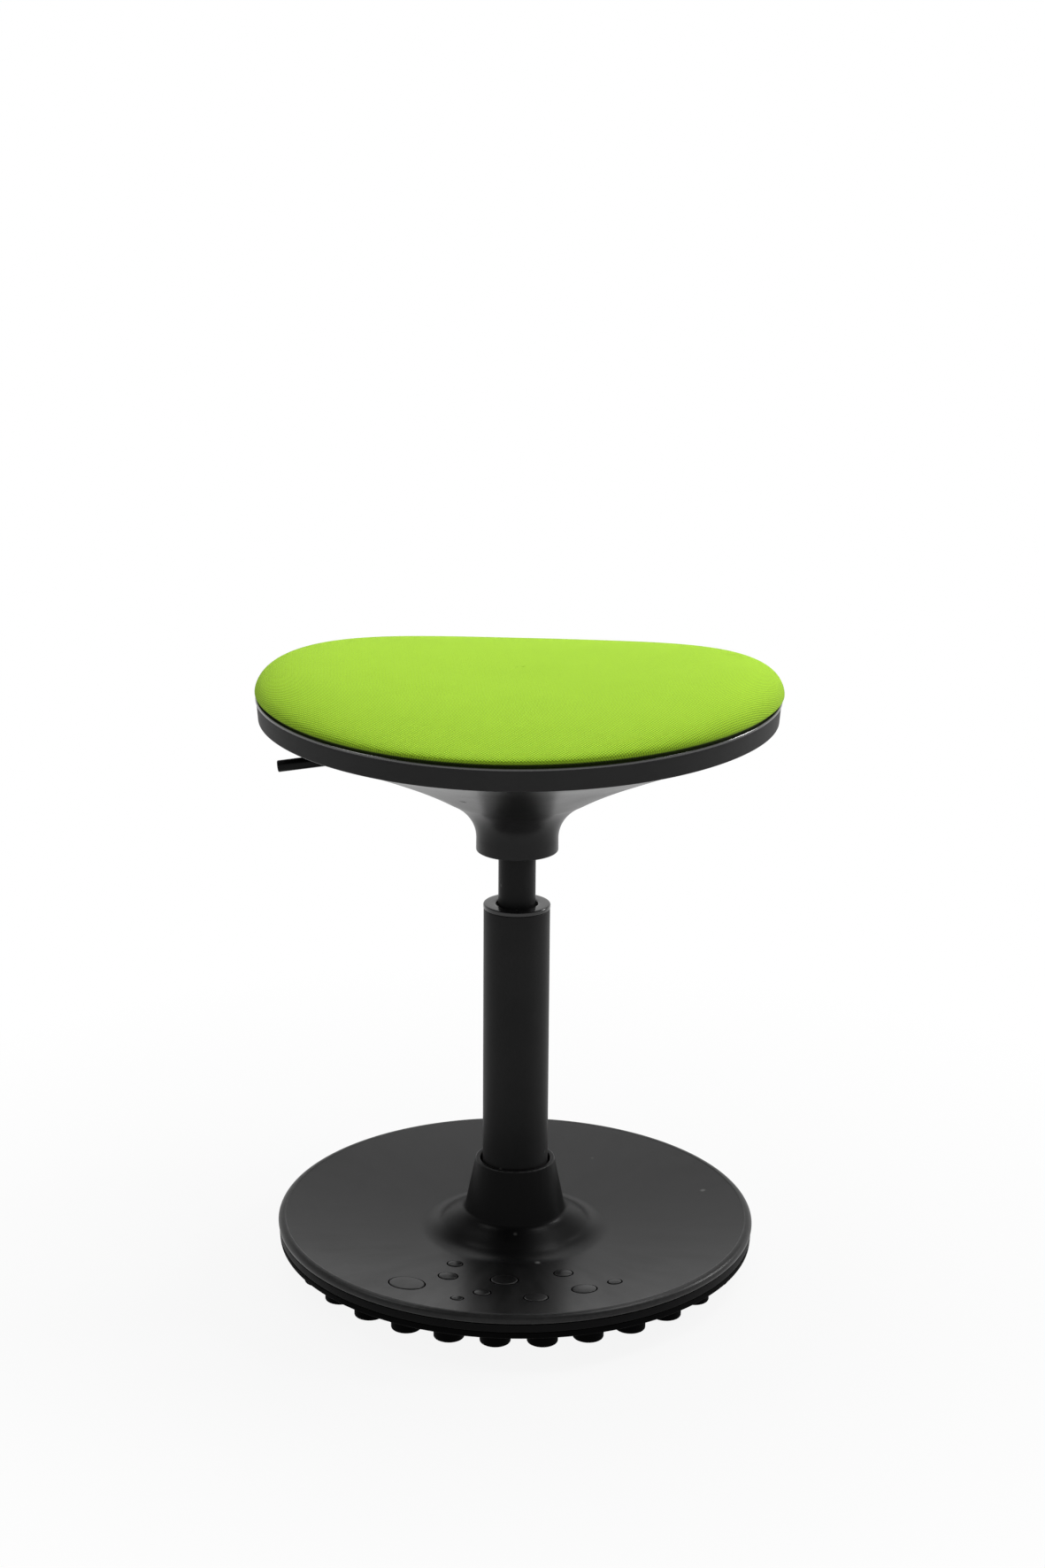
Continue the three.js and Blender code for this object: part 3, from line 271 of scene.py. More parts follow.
def axesOf(tree, vector):
    return put(tree, "ShaderNodeSeparateXYZ", {0: vector}).outputs


def noiseOf(tree, vector, scale, detail=2.0, roughness=0.5):
    inputs = {"Vector": vector, "Scale": scale, "Detail": detail, "Roughness": roughness}
    return put(tree, "ShaderNodeTexNoise", inputs).outputs[0]


def cellsOf(tree, vector, scale):
    return put(tree, "ShaderNodeTexVoronoi", {"Vector": vector, "Scale": scale}).outputs


def newGroup(name, numbers, made):
    # A shader node group that takes a vector and the named numbers, and puts out the named values.
    tree = bpy.data.node_groups.new(name, "ShaderNodeTree")
    tree.interface.new_socket("Vector", in_out="INPUT", socket_type="NodeSocketVector")
    for label, value in numbers.items():
        tree.interface.new_socket(label, in_out="INPUT",
                                  socket_type="NodeSocketFloat").default_value = value
    for label in made:
        tree.interface.new_socket(label, in_out="OUTPUT", socket_type="NodeSocketFloat")
    return tree, tree.nodes.new("NodeGroupInput").outputs, tree.nodes.new("NodeGroupOutput").inputs


grainLook = dict(roughness=0.6, share=0.6, cloudScale=14.0, cloud=(0.3, 0.7))


def grainGroup():
    # Moulded or coated grain: fine noise plus the soft pits of a cell pattern, as a height from 0 to 1,
    # and a slow noise that says where the surface is a little duller.
    look = named(grainLook)
    tree, given, made = newGroup("fineGrain", dict(Scale=900.0, Pits=0.5), ("Height", "Cloud"))
    fine = noiseOf(tree, given["Vector"], given["Scale"], 2.0, look.roughness)
    pits = times(tree, cellsOf(tree, given["Vector"], given["Scale"])["Distance"], given["Pits"])
    tree.links.new(sums(tree, "MULTIPLY_ADD", fine, look.share, pits), made["Height"])
    slow = noiseOf(tree, given["Vector"], look.cloudScale, 3.0, 0.55)
    tree.links.new(spread(tree, slow, *look.cloud, 0.0, 1.0), made["Cloud"])
    return tree


def wearAndHighlightGroup():
    # Edge wear that is also a painted highlight: the piece's own edge share, broken up by noise, from 0 to
    # 1.
    tree, given, made = newGroup("edgeWearAndHighlight", dict(Scale=160.0, Amount=0.5), ("Mask",))
    edge = put(tree, "ShaderNodeAttribute", attribute_name="edgeShare",
               attribute_type="GEOMETRY").outputs["Fac"]
    broken = spread(tree, noiseOf(tree, given["Vector"], given["Scale"], 3.0, 0.6), 0.35, 0.65, 0.35, 1.0)
    tree.links.new(times(tree, times(tree, edge, broken), given["Amount"], clamp=True), made["Mask"])
    return tree


def dustGroup():
    # Dust: small spots at the middles of cells, only in cells whose random number is over the limit.
    tree, given, made = newGroup("dustSpecks", dict(Scale=120.0, Limit=0.9), ("Mask",))
    cells = cellsOf(tree, given["Vector"], given["Scale"])
    near = spread(tree, cells["Distance"], 0.05, 0.16, 1.0, 0.0)
    pick = put(tree, "ShaderNodeSeparateColor", {0: cells["Color"]}).outputs[0]
    kept = sums(tree, "GREATER_THAN", pick, given["Limit"])
    tree.links.new(times(tree, near, kept, clamp=True), made["Mask"])
    return tree


weaveLook = dict(driftScale=60.0, steep=0.9, flat=0.45, strandScale=900.0, strand=0.5, chess=0.25)


def weaveGroup():
    # A plain weave on the piece's own map: each cell is a thread crossing, a hump long across the thread.
    # hump = |sin u|^a * |sin v|^b, and the powers a and b change places from cell to cell like a
    # chessboard.
    look = named(weaveLook)
    tree, given, made = newGroup("plainWeave", dict(Pitch=0.0017, Wander=0.15), ("Height", "Thread"))
    drift = sums(tree, "SUBTRACT", noiseOf(tree, given["Vector"], look.driftScale), 0.5)
    sway = times(tree, drift, times(tree, given["Wander"], given["Pitch"]))
    waves = []
    for axis in axesOf(tree, given["Vector"])[:2]:
        cell = sums(tree, "DIVIDE", sums(tree, "ADD", axis, sway), given["Pitch"])
        waves.append(sums(tree, "SINE", times(tree, cell, math.pi)))
    chess = sums(tree, "GREATER_THAN", times(tree, *waves), 0.0)
    u, v = (sums(tree, "ABSOLUTE", wave) for wave in waves)
    humps = [times(tree, sums(tree, "POWER", u, a), sums(tree, "POWER", v, b))
             for a, b in ((look.flat, look.steep), (look.steep, look.flat))]
    hump = put(tree, "ShaderNodeMix", {0: chess, 2: humps[0], 3: humps[1]}, data_type="FLOAT").outputs[0]
    tree.links.new(hump, made["Height"])
    strand = noiseOf(tree, given["Vector"], look.strandScale, 2.0, 0.6)
    thread = sums(tree, "ADD", times(tree, strand, look.strand), times(tree, chess, look.chess))
    tree.links.new(thread, made["Thread"])
    return tree


groups = {"grain": grainGroup(), "wear": wearAndHighlightGroup(), "dust": dustGroup(), "weave": weaveGroup()}


def useGroup(tree, name, **inputs):
    return put(tree, "ShaderNodeGroup", inputs, node_tree=groups[name]).outputs


def startMaterial(name):
    # An empty material with its Principled shader, its own tree and Object coordinates.
    material = bpy.data.materials.new(name)
    material.use_nodes = True
    tree = material.node_tree
    place = tree.nodes.new("ShaderNodeTexCoord").outputs["Object"]
    return material, tree, tree.nodes["Principled BSDF"], place


def setShader(tree, shader, values):
    for name, value in values.items():
        setSocket(tree, shader.inputs[name], value)


def bumped(tree, height, strength, distance):
    return put(tree, "ShaderNodeBump", {"Height": height, "Strength": strength,
                                        "Distance": distance}).outputs[0]


def overSaddle(tree, place, height, sway, degrees):
    # How far a point is above a saddle's line: z - (height + sway * cos(2 * (bearing - degrees))), in
    # metres.
    x, y, z = axesOf(tree, place)
    twice = sums(tree, "MULTIPLY_ADD", sums(tree, "ARCTAN2", y, x), 2.0, -2 * math.radians(degrees))
    return sums(tree, "SUBTRACT", z, sums(tree, "MULTIPLY_ADD", sums(tree, "COSINE", twice), sway, height))


# Solid finishes. A family gives the grain's pits, the bump, and the layers over the colour from the lowest
# up: edge wear, which also paints a highlight along convex edges, takes a range of the edge mask and
# spreads it to least and most. Depths are in metres, and scales are cells to the metre.
families = {
    "plastic": dict(layers=("wear", "dust"), pits=0.5, bump=0.6, wearScale=220.0,
                    wearRange=(0.0, 1.0, 0.0, 1.0),
                    wornMetal=0.0, dustShare=0.35, dustColour=(0.3, 0.3, 0.29), dustRough=0.3),
    "coat": dict(layers=("dust", "wear"), pits=0.35, bump=0.6, wearScale=420.0,
                 wearRange=(0.2, 0.5, 0.0, 0.35),
                 worn=(0.3, 0.3, 0.3), wornMetal=0.8, dust=0.95, dustScale=90.0, dustShare=0.3,
                 dustColour=(0.25, 0.25, 0.25), dustRough=0.0),
    "rubber": dict(layers=("wear",), pits=0.6, bump=0.5, depth=0.00015, wearScale=300.0,
                   wearRange=(0.0, 1.0, 0.0, 0.6), worn=(0.045, 0.044, 0.042), wornMetal=0.0),
    "iron": dict(layers=(), pits=0.8, bump=0.8, depth=0.0004, metal=0.6),
}

solidLooks = {
    "cover": dict(family="plastic", dark=(0.002, 0.002, 0.0021), light=(0.009, 0.009, 0.0092),
                  rough=(0.3, 0.42),
                  specular=0.21, grain=1500.0, depth=0.00008, wear=0.5, worn=(0.09, 0.09, 0.09), dust=0.93,
                  dustScale=60.0,
                  rays=dict(around=5.0, outward=9.0, scale=1.6, contrast=(0.35, 0.7), fadeIn=(0.07, 0.1),
                            share=0.6),
                  dish=dict(low=0.02524, radius=0.992, reach=0.168, depth=(0.00012, 0.0003), rough=0.9,
                            # the groove colour below is painted shade in the grooves round the dots
                            black=(0.0005, 0.0005, 0.0005), cone=(0.055, 0.074), coneShare=0.3)),
    "tray": dict(family="plastic", dark=(0.002, 0.002, 0.0021), light=(0.006, 0.006, 0.0062),
                 rough=(0.42, 0.55),
                 specular=0.05, grain=1300.0, depth=0.0001, wear=0.25, worn=(0.05, 0.05, 0.05), dust=0.9,
                 dustScale=80.0),
    "shell": dict(family="plastic", dark=(0.019, 0.019, 0.0191), light=(0.025, 0.025, 0.0252),
                  rough=(0.27, 0.34),
                  specular=0.14, grain=1700.0, depth=0.00006, wear=0.35, worn=(0.07, 0.07, 0.07), dust=0.97,
                  dustScale=50.0,
                  matt=dict(low=0.4319, sway=0.0034, degrees=175.4, height=0.0141, edge=0.0006,
                            lipEdge=0.0004,
                            colour=(0.058, 0.058, 0.0582), mottle=0.85, specular=0.03, rough=0.5, lip=1.0,
                            lipRough=0.13)),
    "guide": dict(family="plastic", dark=(0.02, 0.02, 0.021), light=(0.03, 0.03, 0.031), rough=(0.42, 0.5),
                  specular=0.5, grain=900.0, depth=0.00005, wear=0.2, worn=(0.08, 0.08, 0.08), dust=0.98,
                  dustScale=80.0),
    "capGloss": dict(family="plastic", dark=(0.006, 0.006, 0.0065), light=(0.009, 0.009, 0.0095),
                     rough=(0.12, 0.2),
                     specular=0.5, grain=2200.0, depth=0.00001, wear=0.3, worn=(0.05, 0.05, 0.05), dust=0.9,
                     dustScale=180.0),
    "column": dict(family="coat", dark=(0.023, 0.023, 0.0232), light=(0.033, 0.033, 0.0332),
                   rough=(0.38, 0.46),
                   specular=0.07, grain=1100.0, depth=0.00012, wear=0.25),
    "cylinder": dict(family="coat", dark=(0.017, 0.017, 0.0172), light=(0.024, 0.024, 0.0242),
                     rough=(0.34, 0.42),
                     specular=0.07, grain=1500.0, depth=0.00005, wear=0.2),
    "lever": dict(family="coat", dark=(0.002, 0.002, 0.0022), light=(0.005, 0.005, 0.0052),
                  rough=(0.24, 0.32),
                  specular=0.1, grain=1500.0, depth=0.00004, wear=0.5),
    "pan": dict(family="coat", dark=(0.012, 0.012, 0.012), light=(0.02, 0.02, 0.02), rough=(0.5, 0.62),
                specular=0.4, grain=800.0, depth=0.0001, wear=0.4),
    "blackSteel": dict(family="coat", dark=(0.014, 0.014, 0.014), light=(0.024, 0.024, 0.024),
                       rough=(0.36, 0.5),
                       specular=0.5, grain=900.0, depth=0.00005, wear=0.4),
    "soleRubber": dict(family="rubber", dark=(0.0015, 0.0015, 0.0016), light=(0.004, 0.004, 0.0042),
                       rough=(0.6, 0.8), specular=0.02, grain=700.0, wear=0.2),
    "sealRubber": dict(family="rubber", dark=(0.004, 0.004, 0.004), light=(0.009, 0.009, 0.009),
                       rough=(0.45, 0.6), specular=0.3, grain=1200.0, wear=0.1),
    "castIron": dict(family="iron", dark=(0.05, 0.05, 0.052), light=(0.11, 0.105, 0.1), rough=(0.6, 0.8),
                     specular=0.5, grain=260.0),
}


def drawnOut(tree, place, cloud, rays):
    # Moulding streaks: part of the cloud is a noise drawn out along the rays of the disc, away from its
    # middle.
    look = named(rays)
    x, y, _ = axesOf(tree, place)
    reach = put(tree, "ShaderNodeVectorMath", {0: place}, operation="LENGTH").outputs["Value"]
    polar = {0: times(tree, sums(tree, "ARCTAN2", y, x), look.around), 1: times(tree, reach, look.outward)}
    drawn = put(tree, "ShaderNodeCombineXYZ", polar).outputs[0]
    streaks = spread(tree, noiseOf(tree, drawn, look.scale, 4.0, 0.6), *look.contrast, 0.0, 1.0)
    streaks = times(tree, streaks, spread(tree, reach, *look.fadeIn, 0.0, 1.0))
    return sums(tree, "ADD", times(tree, cloud, 1 - look.share), times(tree, streaks, look.share))


def mattBand(tree, place, cloud, colour, rough, specular, matt):
    # A band of matt grain, from the rim's lower edge up to its glossy lip, that follows the saddle's line.
    look = named(matt)
    above = overSaddle(tree, place, look.low, look.sway, look.degrees)
    band = times(tree, spread(tree, above, 0.0, look.edge, 0.0, 1.0),
                 spread(tree, above, look.height, look.height + look.edge, 1.0, 0.0))
    mottled = blended(tree, cloud, tuple(look.mottle * c for c in look.colour), look.colour)
    lip = spread(tree, above, look.height, look.height + look.lipEdge, 0.0, 1.0)
    rough = spread(tree, band, 0.0, 1.0, rough, look.rough)
    specular = spread(tree, band, 0.0, 1.0, specular, look.specular)
    return (blended(tree, band, colour, mottled), spread(tree, lip, 0.0, 1.0, rough, look.lipRough),
            spread(tree, lip, 0.0, 1.0, specular, look.lip))


def underDish(tree, place, colour, rough, specular, dish):
    # What lies under the dish, z < low + R - sqrt(R^2 - r^2), is painted near black as shade, rough and
    # without gloss: the grooves round the dots.
    # Inside the hump's foot the cover is less polished than on the dish.
    look = named(dish)
    x, y, z = axesOf(tree, place)
    square = sums(tree, "MULTIPLY_ADD", x, x, times(tree, y, y))
    drop = sums(tree, "SQRT", sums(tree, "SUBTRACT", look.radius ** 2, square))
    under = sums(tree, "SUBTRACT", sums(tree, "SUBTRACT", look.low + look.radius, drop), z)
    # Painted shade: the grooves below the dish surface take the near-black groove colour.
    groove = times(tree, spread(tree, under, *look.depth, 0.0, 1.0),
                   sums(tree, "LESS_THAN", square, look.reach ** 2))
    inner, outer = (r ** 2 for r in look.cone)
    polish = spread(tree, square, inner, outer, look.coneShare * specular, specular)
    return (blended(tree, groove, colour, look.black), spread(tree, groove, 0.0, 1.0, rough, look.rough),
            spread(tree, groove, 0.0, 1.0, polish, 0.0))


def solidMaterial(name):
    # A moulded, coated, rubber or cast finish: slow clouds from dark to light that also change the
    # roughness, fine pits, worn or chipped edges that also carry a painted highlight, and a few specks of
    # dust.
    given = solidLooks[name]
    look = named({**families[given["family"]], **given})
    material, tree, shader, place = startMaterial(name)
    grain = useGroup(tree, "grain", Vector=place, Scale=look.grain, Pits=look.pits)
    cloud = drawnOut(tree, place, grain["Cloud"], look.rays) if "rays" in given else grain["Cloud"]
    surface = (blended(tree, cloud, look.dark, look.light), spread(tree, cloud, 0.0, 1.0, *look.rough),
               look.specular)
    metal = getattr(look, "metal", 0.0)
    for layer in look.layers:
        colour = surface[0]
        # Lighter edges: wear, and partly a painted highlight along convex edges.
        if layer == "wear":
            mask = useGroup(tree, "wear", Vector=place, Scale=look.wearScale, Amount=look.wear)["Mask"]
            worn = spread(tree, mask, *look.wearRange)
            colour, metal = blended(tree, worn, colour, look.worn), times(tree, worn, look.wornMetal)
        else:
            dust = useGroup(tree, "dust", Vector=place, Scale=look.dustScale, Limit=look.dust)["Mask"]
            colour = blended(tree, times(tree, dust, look.dustShare), colour, look.dustColour)
        surface = (colour, *surface[1:])
    if "matt" in given:
        surface = mattBand(tree, place, cloud, *surface, look.matt)
    if "dish" in given:
        surface = underDish(tree, place, *surface, look.dish)
    colour, rough, specular = surface
    if "dust" in look.layers:
        rough = sums(tree, "MULTIPLY_ADD", dust, look.dustRough, rough, clamp=True)
    values = {"Base Color": colour, "Roughness": rough, "Specular IOR Level": specular, "Metallic": metal,
              "Normal": bumped(tree, grain["Height"], look.bump, look.depth)}
    setShader(tree, shader, values)
    return material


steelLook = dict(dark=(0.52, 0.53, 0.55), light=(0.66, 0.66, 0.67), rough=(0.24, 0.4), grain=700.0,
                 pits=0.2,
                 lineScale=2600.0, lineShare=0.7, depth=0.00004)


def steelMaterial():
    # Zinc-plated steel: bright metal whose roughness and tint drift, with fine turning lines round Z.
    look = named(steelLook)
    material, tree, shader, place = startMaterial("platedSteel")
    grain = useGroup(tree, "grain", Vector=place, Scale=look.grain, Pits=look.pits)
    upward = put(tree, "ShaderNodeCombineXYZ", {2: axesOf(tree, place)[2]}).outputs[0]
    lines = noiseOf(tree, upward, look.lineScale, 2.0, 0.6)
    height = sums(tree, "ADD", times(tree, lines, look.lineShare),
                  times(tree, grain["Height"], 1 - look.lineShare))
    setShader(tree, shader, {
        "Base Color": blended(tree, grain["Cloud"], look.dark, look.light), "Metallic": 1.0,
        "Roughness": spread(tree, lines, 0.3, 0.7, *look.rough),
        "Normal": bumped(tree, height, 0.4, look.depth)})
    return material


woodLook = dict(pale=(0.72, 0.55, 0.34), ring=(0.55, 0.38, 0.21), glue=(0.25, 0.15, 0.08),
                rough=(0.55, 0.7),
                grain=500.0, pits=0.3, stretch=0.12, figureScale=60.0, layer=0.0014, depth=0.0001)


def plywoodMaterial():
    # Birch plywood: rings stretched along X on the faces, and a layer line every 1.4 mm up the edge.
    look = named(woodLook)
    material, tree, shader, place = startMaterial("plywood")
    grain = useGroup(tree, "grain", Vector=place, Scale=look.grain, Pits=look.pits)
    long = put(tree, "ShaderNodeMapping", {"Vector": place, "Scale": (look.stretch, 1.0, 1.0)}).outputs[0]
    figure = spread(tree, noiseOf(tree, long, look.figureScale, 5.0, 0.6), 0.35, 0.65, 0.0, 1.0)
    wave = sums(tree, "SINE", times(tree, axesOf(tree, place)[2], math.pi / look.layer))
    layer = spread(tree, sums(tree, "ABSOLUTE", wave), 0.0, 0.3, 0.35, 0.0)
    setShader(tree, shader, {
        "Base Color": blended(tree, layer, blended(tree, figure, look.ring, look.pale), look.glue),
        "Roughness": spread(tree, figure, 0.0, 1.0, *look.rough),
        "Normal": bumped(tree, grain["Height"], 0.4, look.depth)})
    return material


foamLook = dict(mouth=(0.45, 0.4, 0.24), wall=(0.82, 0.78, 0.56), stain=(0.7, 0.62, 0.36), scale=900.0,
                rough=0.95,
                depth=0.0005)


def foamMaterial():
    # Open-cell foam: cream, with dark cell mouths.
    look = named(foamLook)
    material, tree, shader, place = startMaterial("foam")
    cells = cellsOf(tree, place, look.scale)["Distance"]
    cloud = useGroup(tree, "grain", Vector=place, Scale=look.scale, Pits=0.5)["Cloud"]
    colour = blended(tree, spread(tree, cells, 0.1, 0.6, 0.0, 1.0), look.mouth, look.wall)
    setShader(tree, shader, {
        "Base Color": blended(tree, times(tree, cloud, 0.2), colour, look.stain), "Roughness": look.rough,
        "Normal": bumped(tree, cells, 0.7, look.depth)})
    return material


fabricLook = dict(
    # the threads' colour, then painted shade for the gaps between them, under the gap range of the weave's
    # height
    lit=(0.440, 0.755, 0.022), deep=(0.065, 0.160, 0.002), pale=(0.50, 0.79, 0.05), gap=(0.12, 0.62),
    drift=(0.25, 0.5),
    pitch=0.00165, wander=0.25, turnDegrees=42.0, depth=0.00045, strand=0.12, rough=(0.75, 0.95),
    specular=0.2,
    # tuck, tuckShare and tuckShade: painted shade where the cloth tucks in behind the rim
    sheen=0.07, sheenTint=(0.8, 1.0, 0.55, 1), tuck=(-0.0002, 0.0012), tuckShare=0.92,
    tuckShade=(0.004, 0.008, 0.002),
    tuckHeight=0.4500, tuckSway=0.0034, tuckDegrees=174.0, speckScale=260.0, speckLimit=0.985,
    speck=(0.12, 0.25, 0.01))


def fabricMaterial():
    # Woven cover: lime threads over painted shade in the gaps, from the weave's height, threads that differ
    # a little, a slow drift in tone, painted shade where it tucks in behind the rim, a few dark specks, and
    # a faint sheen.
    look = named(fabricLook)
    material, tree, shader, place = startMaterial("limeFabric")
    laid = put(tree, "ShaderNodeMapping",
               {"Vector": put(tree, "ShaderNodeUVMap", uv_map="weave").outputs[0],
                                           "Rotation": (0, 0, math.radians(look.turnDegrees))}).outputs[0]
    weave = useGroup(tree, "weave", Vector=laid, Pitch=look.pitch, Wander=look.wander)
    cloud = useGroup(tree, "grain", Vector=place, Scale=900.0, Pits=0.5)["Cloud"]
    # Painted shade between the threads: low in the weave's height the colour goes to the dark gap colour.
    colour = blended(tree, spread(tree, weave["Height"], *look.gap, 0.0, 1.0), look.deep, look.lit)
    tone = times(tree, weave["Thread"], spread(tree, cloud, 0.0, 1.0, *look.drift))
    colour = blended(tree, tone, colour, look.pale)
    # Painted shade: the cloth darkens just above the saddle's tuck line, where the rim's overhang shades
    # it.
    above = overSaddle(tree, place, look.tuckHeight, look.tuckSway, look.tuckDegrees)
    colour = blended(tree, spread(tree, above, *look.tuck, look.tuckShare, 0.0), colour, look.tuckShade)
    speck = useGroup(tree, "dust", Vector=place, Scale=look.speckScale, Limit=look.speckLimit)["Mask"]
    height = sums(tree, "MULTIPLY_ADD", weave["Thread"], look.strand, weave["Height"])
    setShader(tree, shader, {
        "Base Color": blended(tree, times(tree, speck, 0.5), colour, look.speck),
        "Roughness": spread(tree, weave["Thread"], 0.0, 0.8, *look.rough),
        "Specular IOR Level": look.specular,
        "Sheen Weight": look.sheen, "Sheen Roughness": 0.5, "Sheen Tint": look.sheenTint,
        "Normal": bumped(tree, height, 0.55, look.depth)})
    return material


solidSlots = {
    "sole_rubber": "soleRubber", "tray_plastic": "tray", "cover_plastic": "cover",
    "ballast_iron": "castIron",
    "pan_coat": "pan", "dark_steel": "blackSteel", "column_coat": "column", "cylinder_coat": "cylinder",
    "lever_coat": "lever", "cap_gloss": "capGloss", "guide_plastic": "guide", "shell_plastic": "shell",
    "seal_rubber": "sealRubber"}
materials = {slot: solidMaterial(name) for slot, name in solidSlots.items()}
materials.update(steel=steelMaterial(), board_wood=plywoodMaterial(), foam=foamMaterial(),
                 seat_fabric=fabricMaterial())

for entry in frame["record"]["subparts"]:
    node = frame["nodes"][entry["node"]]
    node.data.materials.clear()
    node.data.materials.append(materials[entry["material_slot"]])
print("stage: materials made,", len(materials))


# The base: sole, tray and cover.

domeLook = dict(constant=-0.7023, square=5.4408e-4, fourth=-1.694e-9)


def domeRise(r):
    # Height of the dome above the inner studs' feet: constant + square * r^2 + fourth * r^4, in mm.
    return domeLook["constant"] + domeLook["square"] * r ** 2 + domeLook["fourth"] * r ** 4


soleLook = dict(
    radius=181.5, bead=181.9, thickness=4.7, outerDrop=0.3, edgeDrop=0.7, underEnd=3.0, overEnd=1.5,
    edgeRise=0.6,
    beadDepth=0.9, corners=(1.4, 0.3, 0.4), rows=40, segments=256, studHeight=8.6, studRadius=11.4,
    studTaper=0.15,
    studCorner=1.0, studRoot=0.2, rootRise=0.3, rootCorners=(0.5, 0.6), firstRing=36.0, ringStep=42.0,
    rings=4,
    firstCount=6, countStep=8, studSegments=28)


def soleFace(r):
    # The sheet's lower face: the dome, which falls off at the very edge as (r / radius)^6.
    return soleLook["studHeight"] + domeRise(r) - soleLook["edgeDrop"] * (r / soleLook["radius"]) ** 6


def studSurface(radius, drop):
    # A round stud: a flat foot with an eased edge, a slight taper, and a root that runs up into the sheet.
    look = named(soleLook)
    low, face = domeRise(radius) - drop, soleFace(radius)
    root, wide = face + look.thickness / 2, look.studRadius + look.studRoot
    outline = rounded([(0, low, 0), (look.studRadius - look.studTaper, low, look.studCorner),
                       (look.studRadius, face - look.studRoot, look.rootCorners[0]),
                       (wide, face + look.rootRise, look.rootCorners[1]), (wide, root, 0), (0, root, 0)],
                      closed=False, steps=4)
    return turned(outline, look.studSegments, closed=False)


def soleSurface():
    # A domed sheet of even thickness with a beaded edge, and rings of round studs with eased feet.
    look = named(soleLook)
    r = np.linspace(0, look.radius - look.underEnd, look.rows)
    under = np.stack([r, soleFace(r)], 1)
    r = np.linspace(look.radius - look.overEnd, 0, look.rows)
    over = np.stack([r, look.studHeight + domeRise(r) + look.thickness], 1)
    top = over[0, 1]
    edge = rounded([(*under[-1], 0), (look.radius, soleFace(look.radius) + look.edgeRise, look.corners[0]),
                    (look.bead, top - look.beadDepth, look.corners[1]), (look.bead, top, look.corners[2]),
                    (*over[0], 0)], closed=False)
    parts = [turned(np.vstack([under, edge[1:-1], over]), look.segments, closed=False)]
    for ring in range(look.rings):
        radius, count = look.firstRing + ring * look.ringStep, look.firstCount + ring * look.countStep
        stud = studSurface(radius, look.outerDrop if ring == look.rings - 1 else 0)
        start = -math.pi / 2 + math.pi / count
        parts += [moved(stud, (radius, 0, 0), bearing=start + k / count * turn) for k in range(count)]
    return gathered(parts)


trayLook = dict(radius=182.0, wall=2.5, floor=2.5, gap=0.3, top=34.88, hole=6.0, inset=2.0, footCorner=0.5,
                edgeCorner=0.6, innerCorner=1.0, longest=6.0, rows=40, segments=256)


def traySurface():
    # A thin dome that lies on the sole, turned up at its edge into an upright band with eased corners.
    look = named(trayLook)
    lift = soleLook["studHeight"] + soleLook["thickness"] + look.gap
    r = np.linspace(look.hole, look.radius - look.inset, look.rows)
    under = np.stack([r, domeRise(r) + lift], 1)
    r = np.linspace(look.radius - look.wall - look.inset, look.hole, look.rows)
    over = np.stack([r, domeRise(r) + lift + look.floor], 1)
    foot, inner = domeRise(look.radius) + lift, look.radius - look.wall
    band = rounded([(*under[-1], 0), (look.radius, foot, look.footCorner),
                    (look.radius, look.top, look.edgeCorner),
                    (inner, look.top, look.edgeCorner), (inner, foot + look.floor, look.innerCorner),
                    (*over[0], 0)],
                   closed=False)
    return turned(densified(np.vstack([under, band[1:-1], over]), look.longest), look.segments)


coverLook = dict(
    radius=182.8, rimFoot=35.48, rimTop=41.58, rimUndercut=1.1, belly=2.3, rimBends=(0.3, 1.2, 2.0, 1.9),
    wall=3.0,
    bead=178.0, beadWidth=1.4, beadStep=0.5, beadBends=(0.9, 0.5), dishRadius=992.0,
    hump=((71.0, 0.0), (66.5, 0.0), (61.0, 1.1), (56.5, 4.6), (50.2, 9.5), (39.8, 12.2), (38.5, 16.8)),
    collar=30.3, bore=26.5, collarTop=84.59, lipOuter=1.2, lipInner=1.5, lipDepth=6.0, lipFoot=0.4,
    lipSlope=(1.6, 2.5),
    liningShift=(-1.4, -2.6), liningEnds=(8.0, 1.5), longest=4.0, segments=288)

# Dots moulded on the front: radius from the axis, bearing from the front in degrees, size, crown height.
dotPlaces = [(143.1, -34.5, 12.9, 0.25), (85.5, -32.6, 5.3, 1.2), (109.9, -27.7, 6.8, 1.1),
             (102.6, -5.3, 9.7, 0.2),
             (132.1, -11.4, 5.9, 0.7), (150.5, -17.1, 4.2, 0.8), (140.4, 5.2, 8.4, 0.3),
             (95.8, 21.1, 6.6, 1.2),
             (133.0, 21.4, 8.8, 0.6), (132.9, 32.5, 4.8, 0.4)]
dotLook = dict(proud=0.45, groove=1.0, grooveDepth=0.9, grooveTop=2.0, grooveFlare=0.15, overlap=0.02,
               root=1.4,
               corner=0.5, rows=7, segments=48)


def dishHeight(r):
    # The dish is a shallow sphere, R - sqrt(R^2 - r^2), that meets the rim's bead just below the rim's top.
    look = named(coverLook)
    sphere = lambda x: look.dishRadius - np.sqrt(look.dishRadius ** 2 - x ** 2)
    return look.rimTop - look.beadStep - sphere(look.bead - look.beadWidth) + sphere(r)


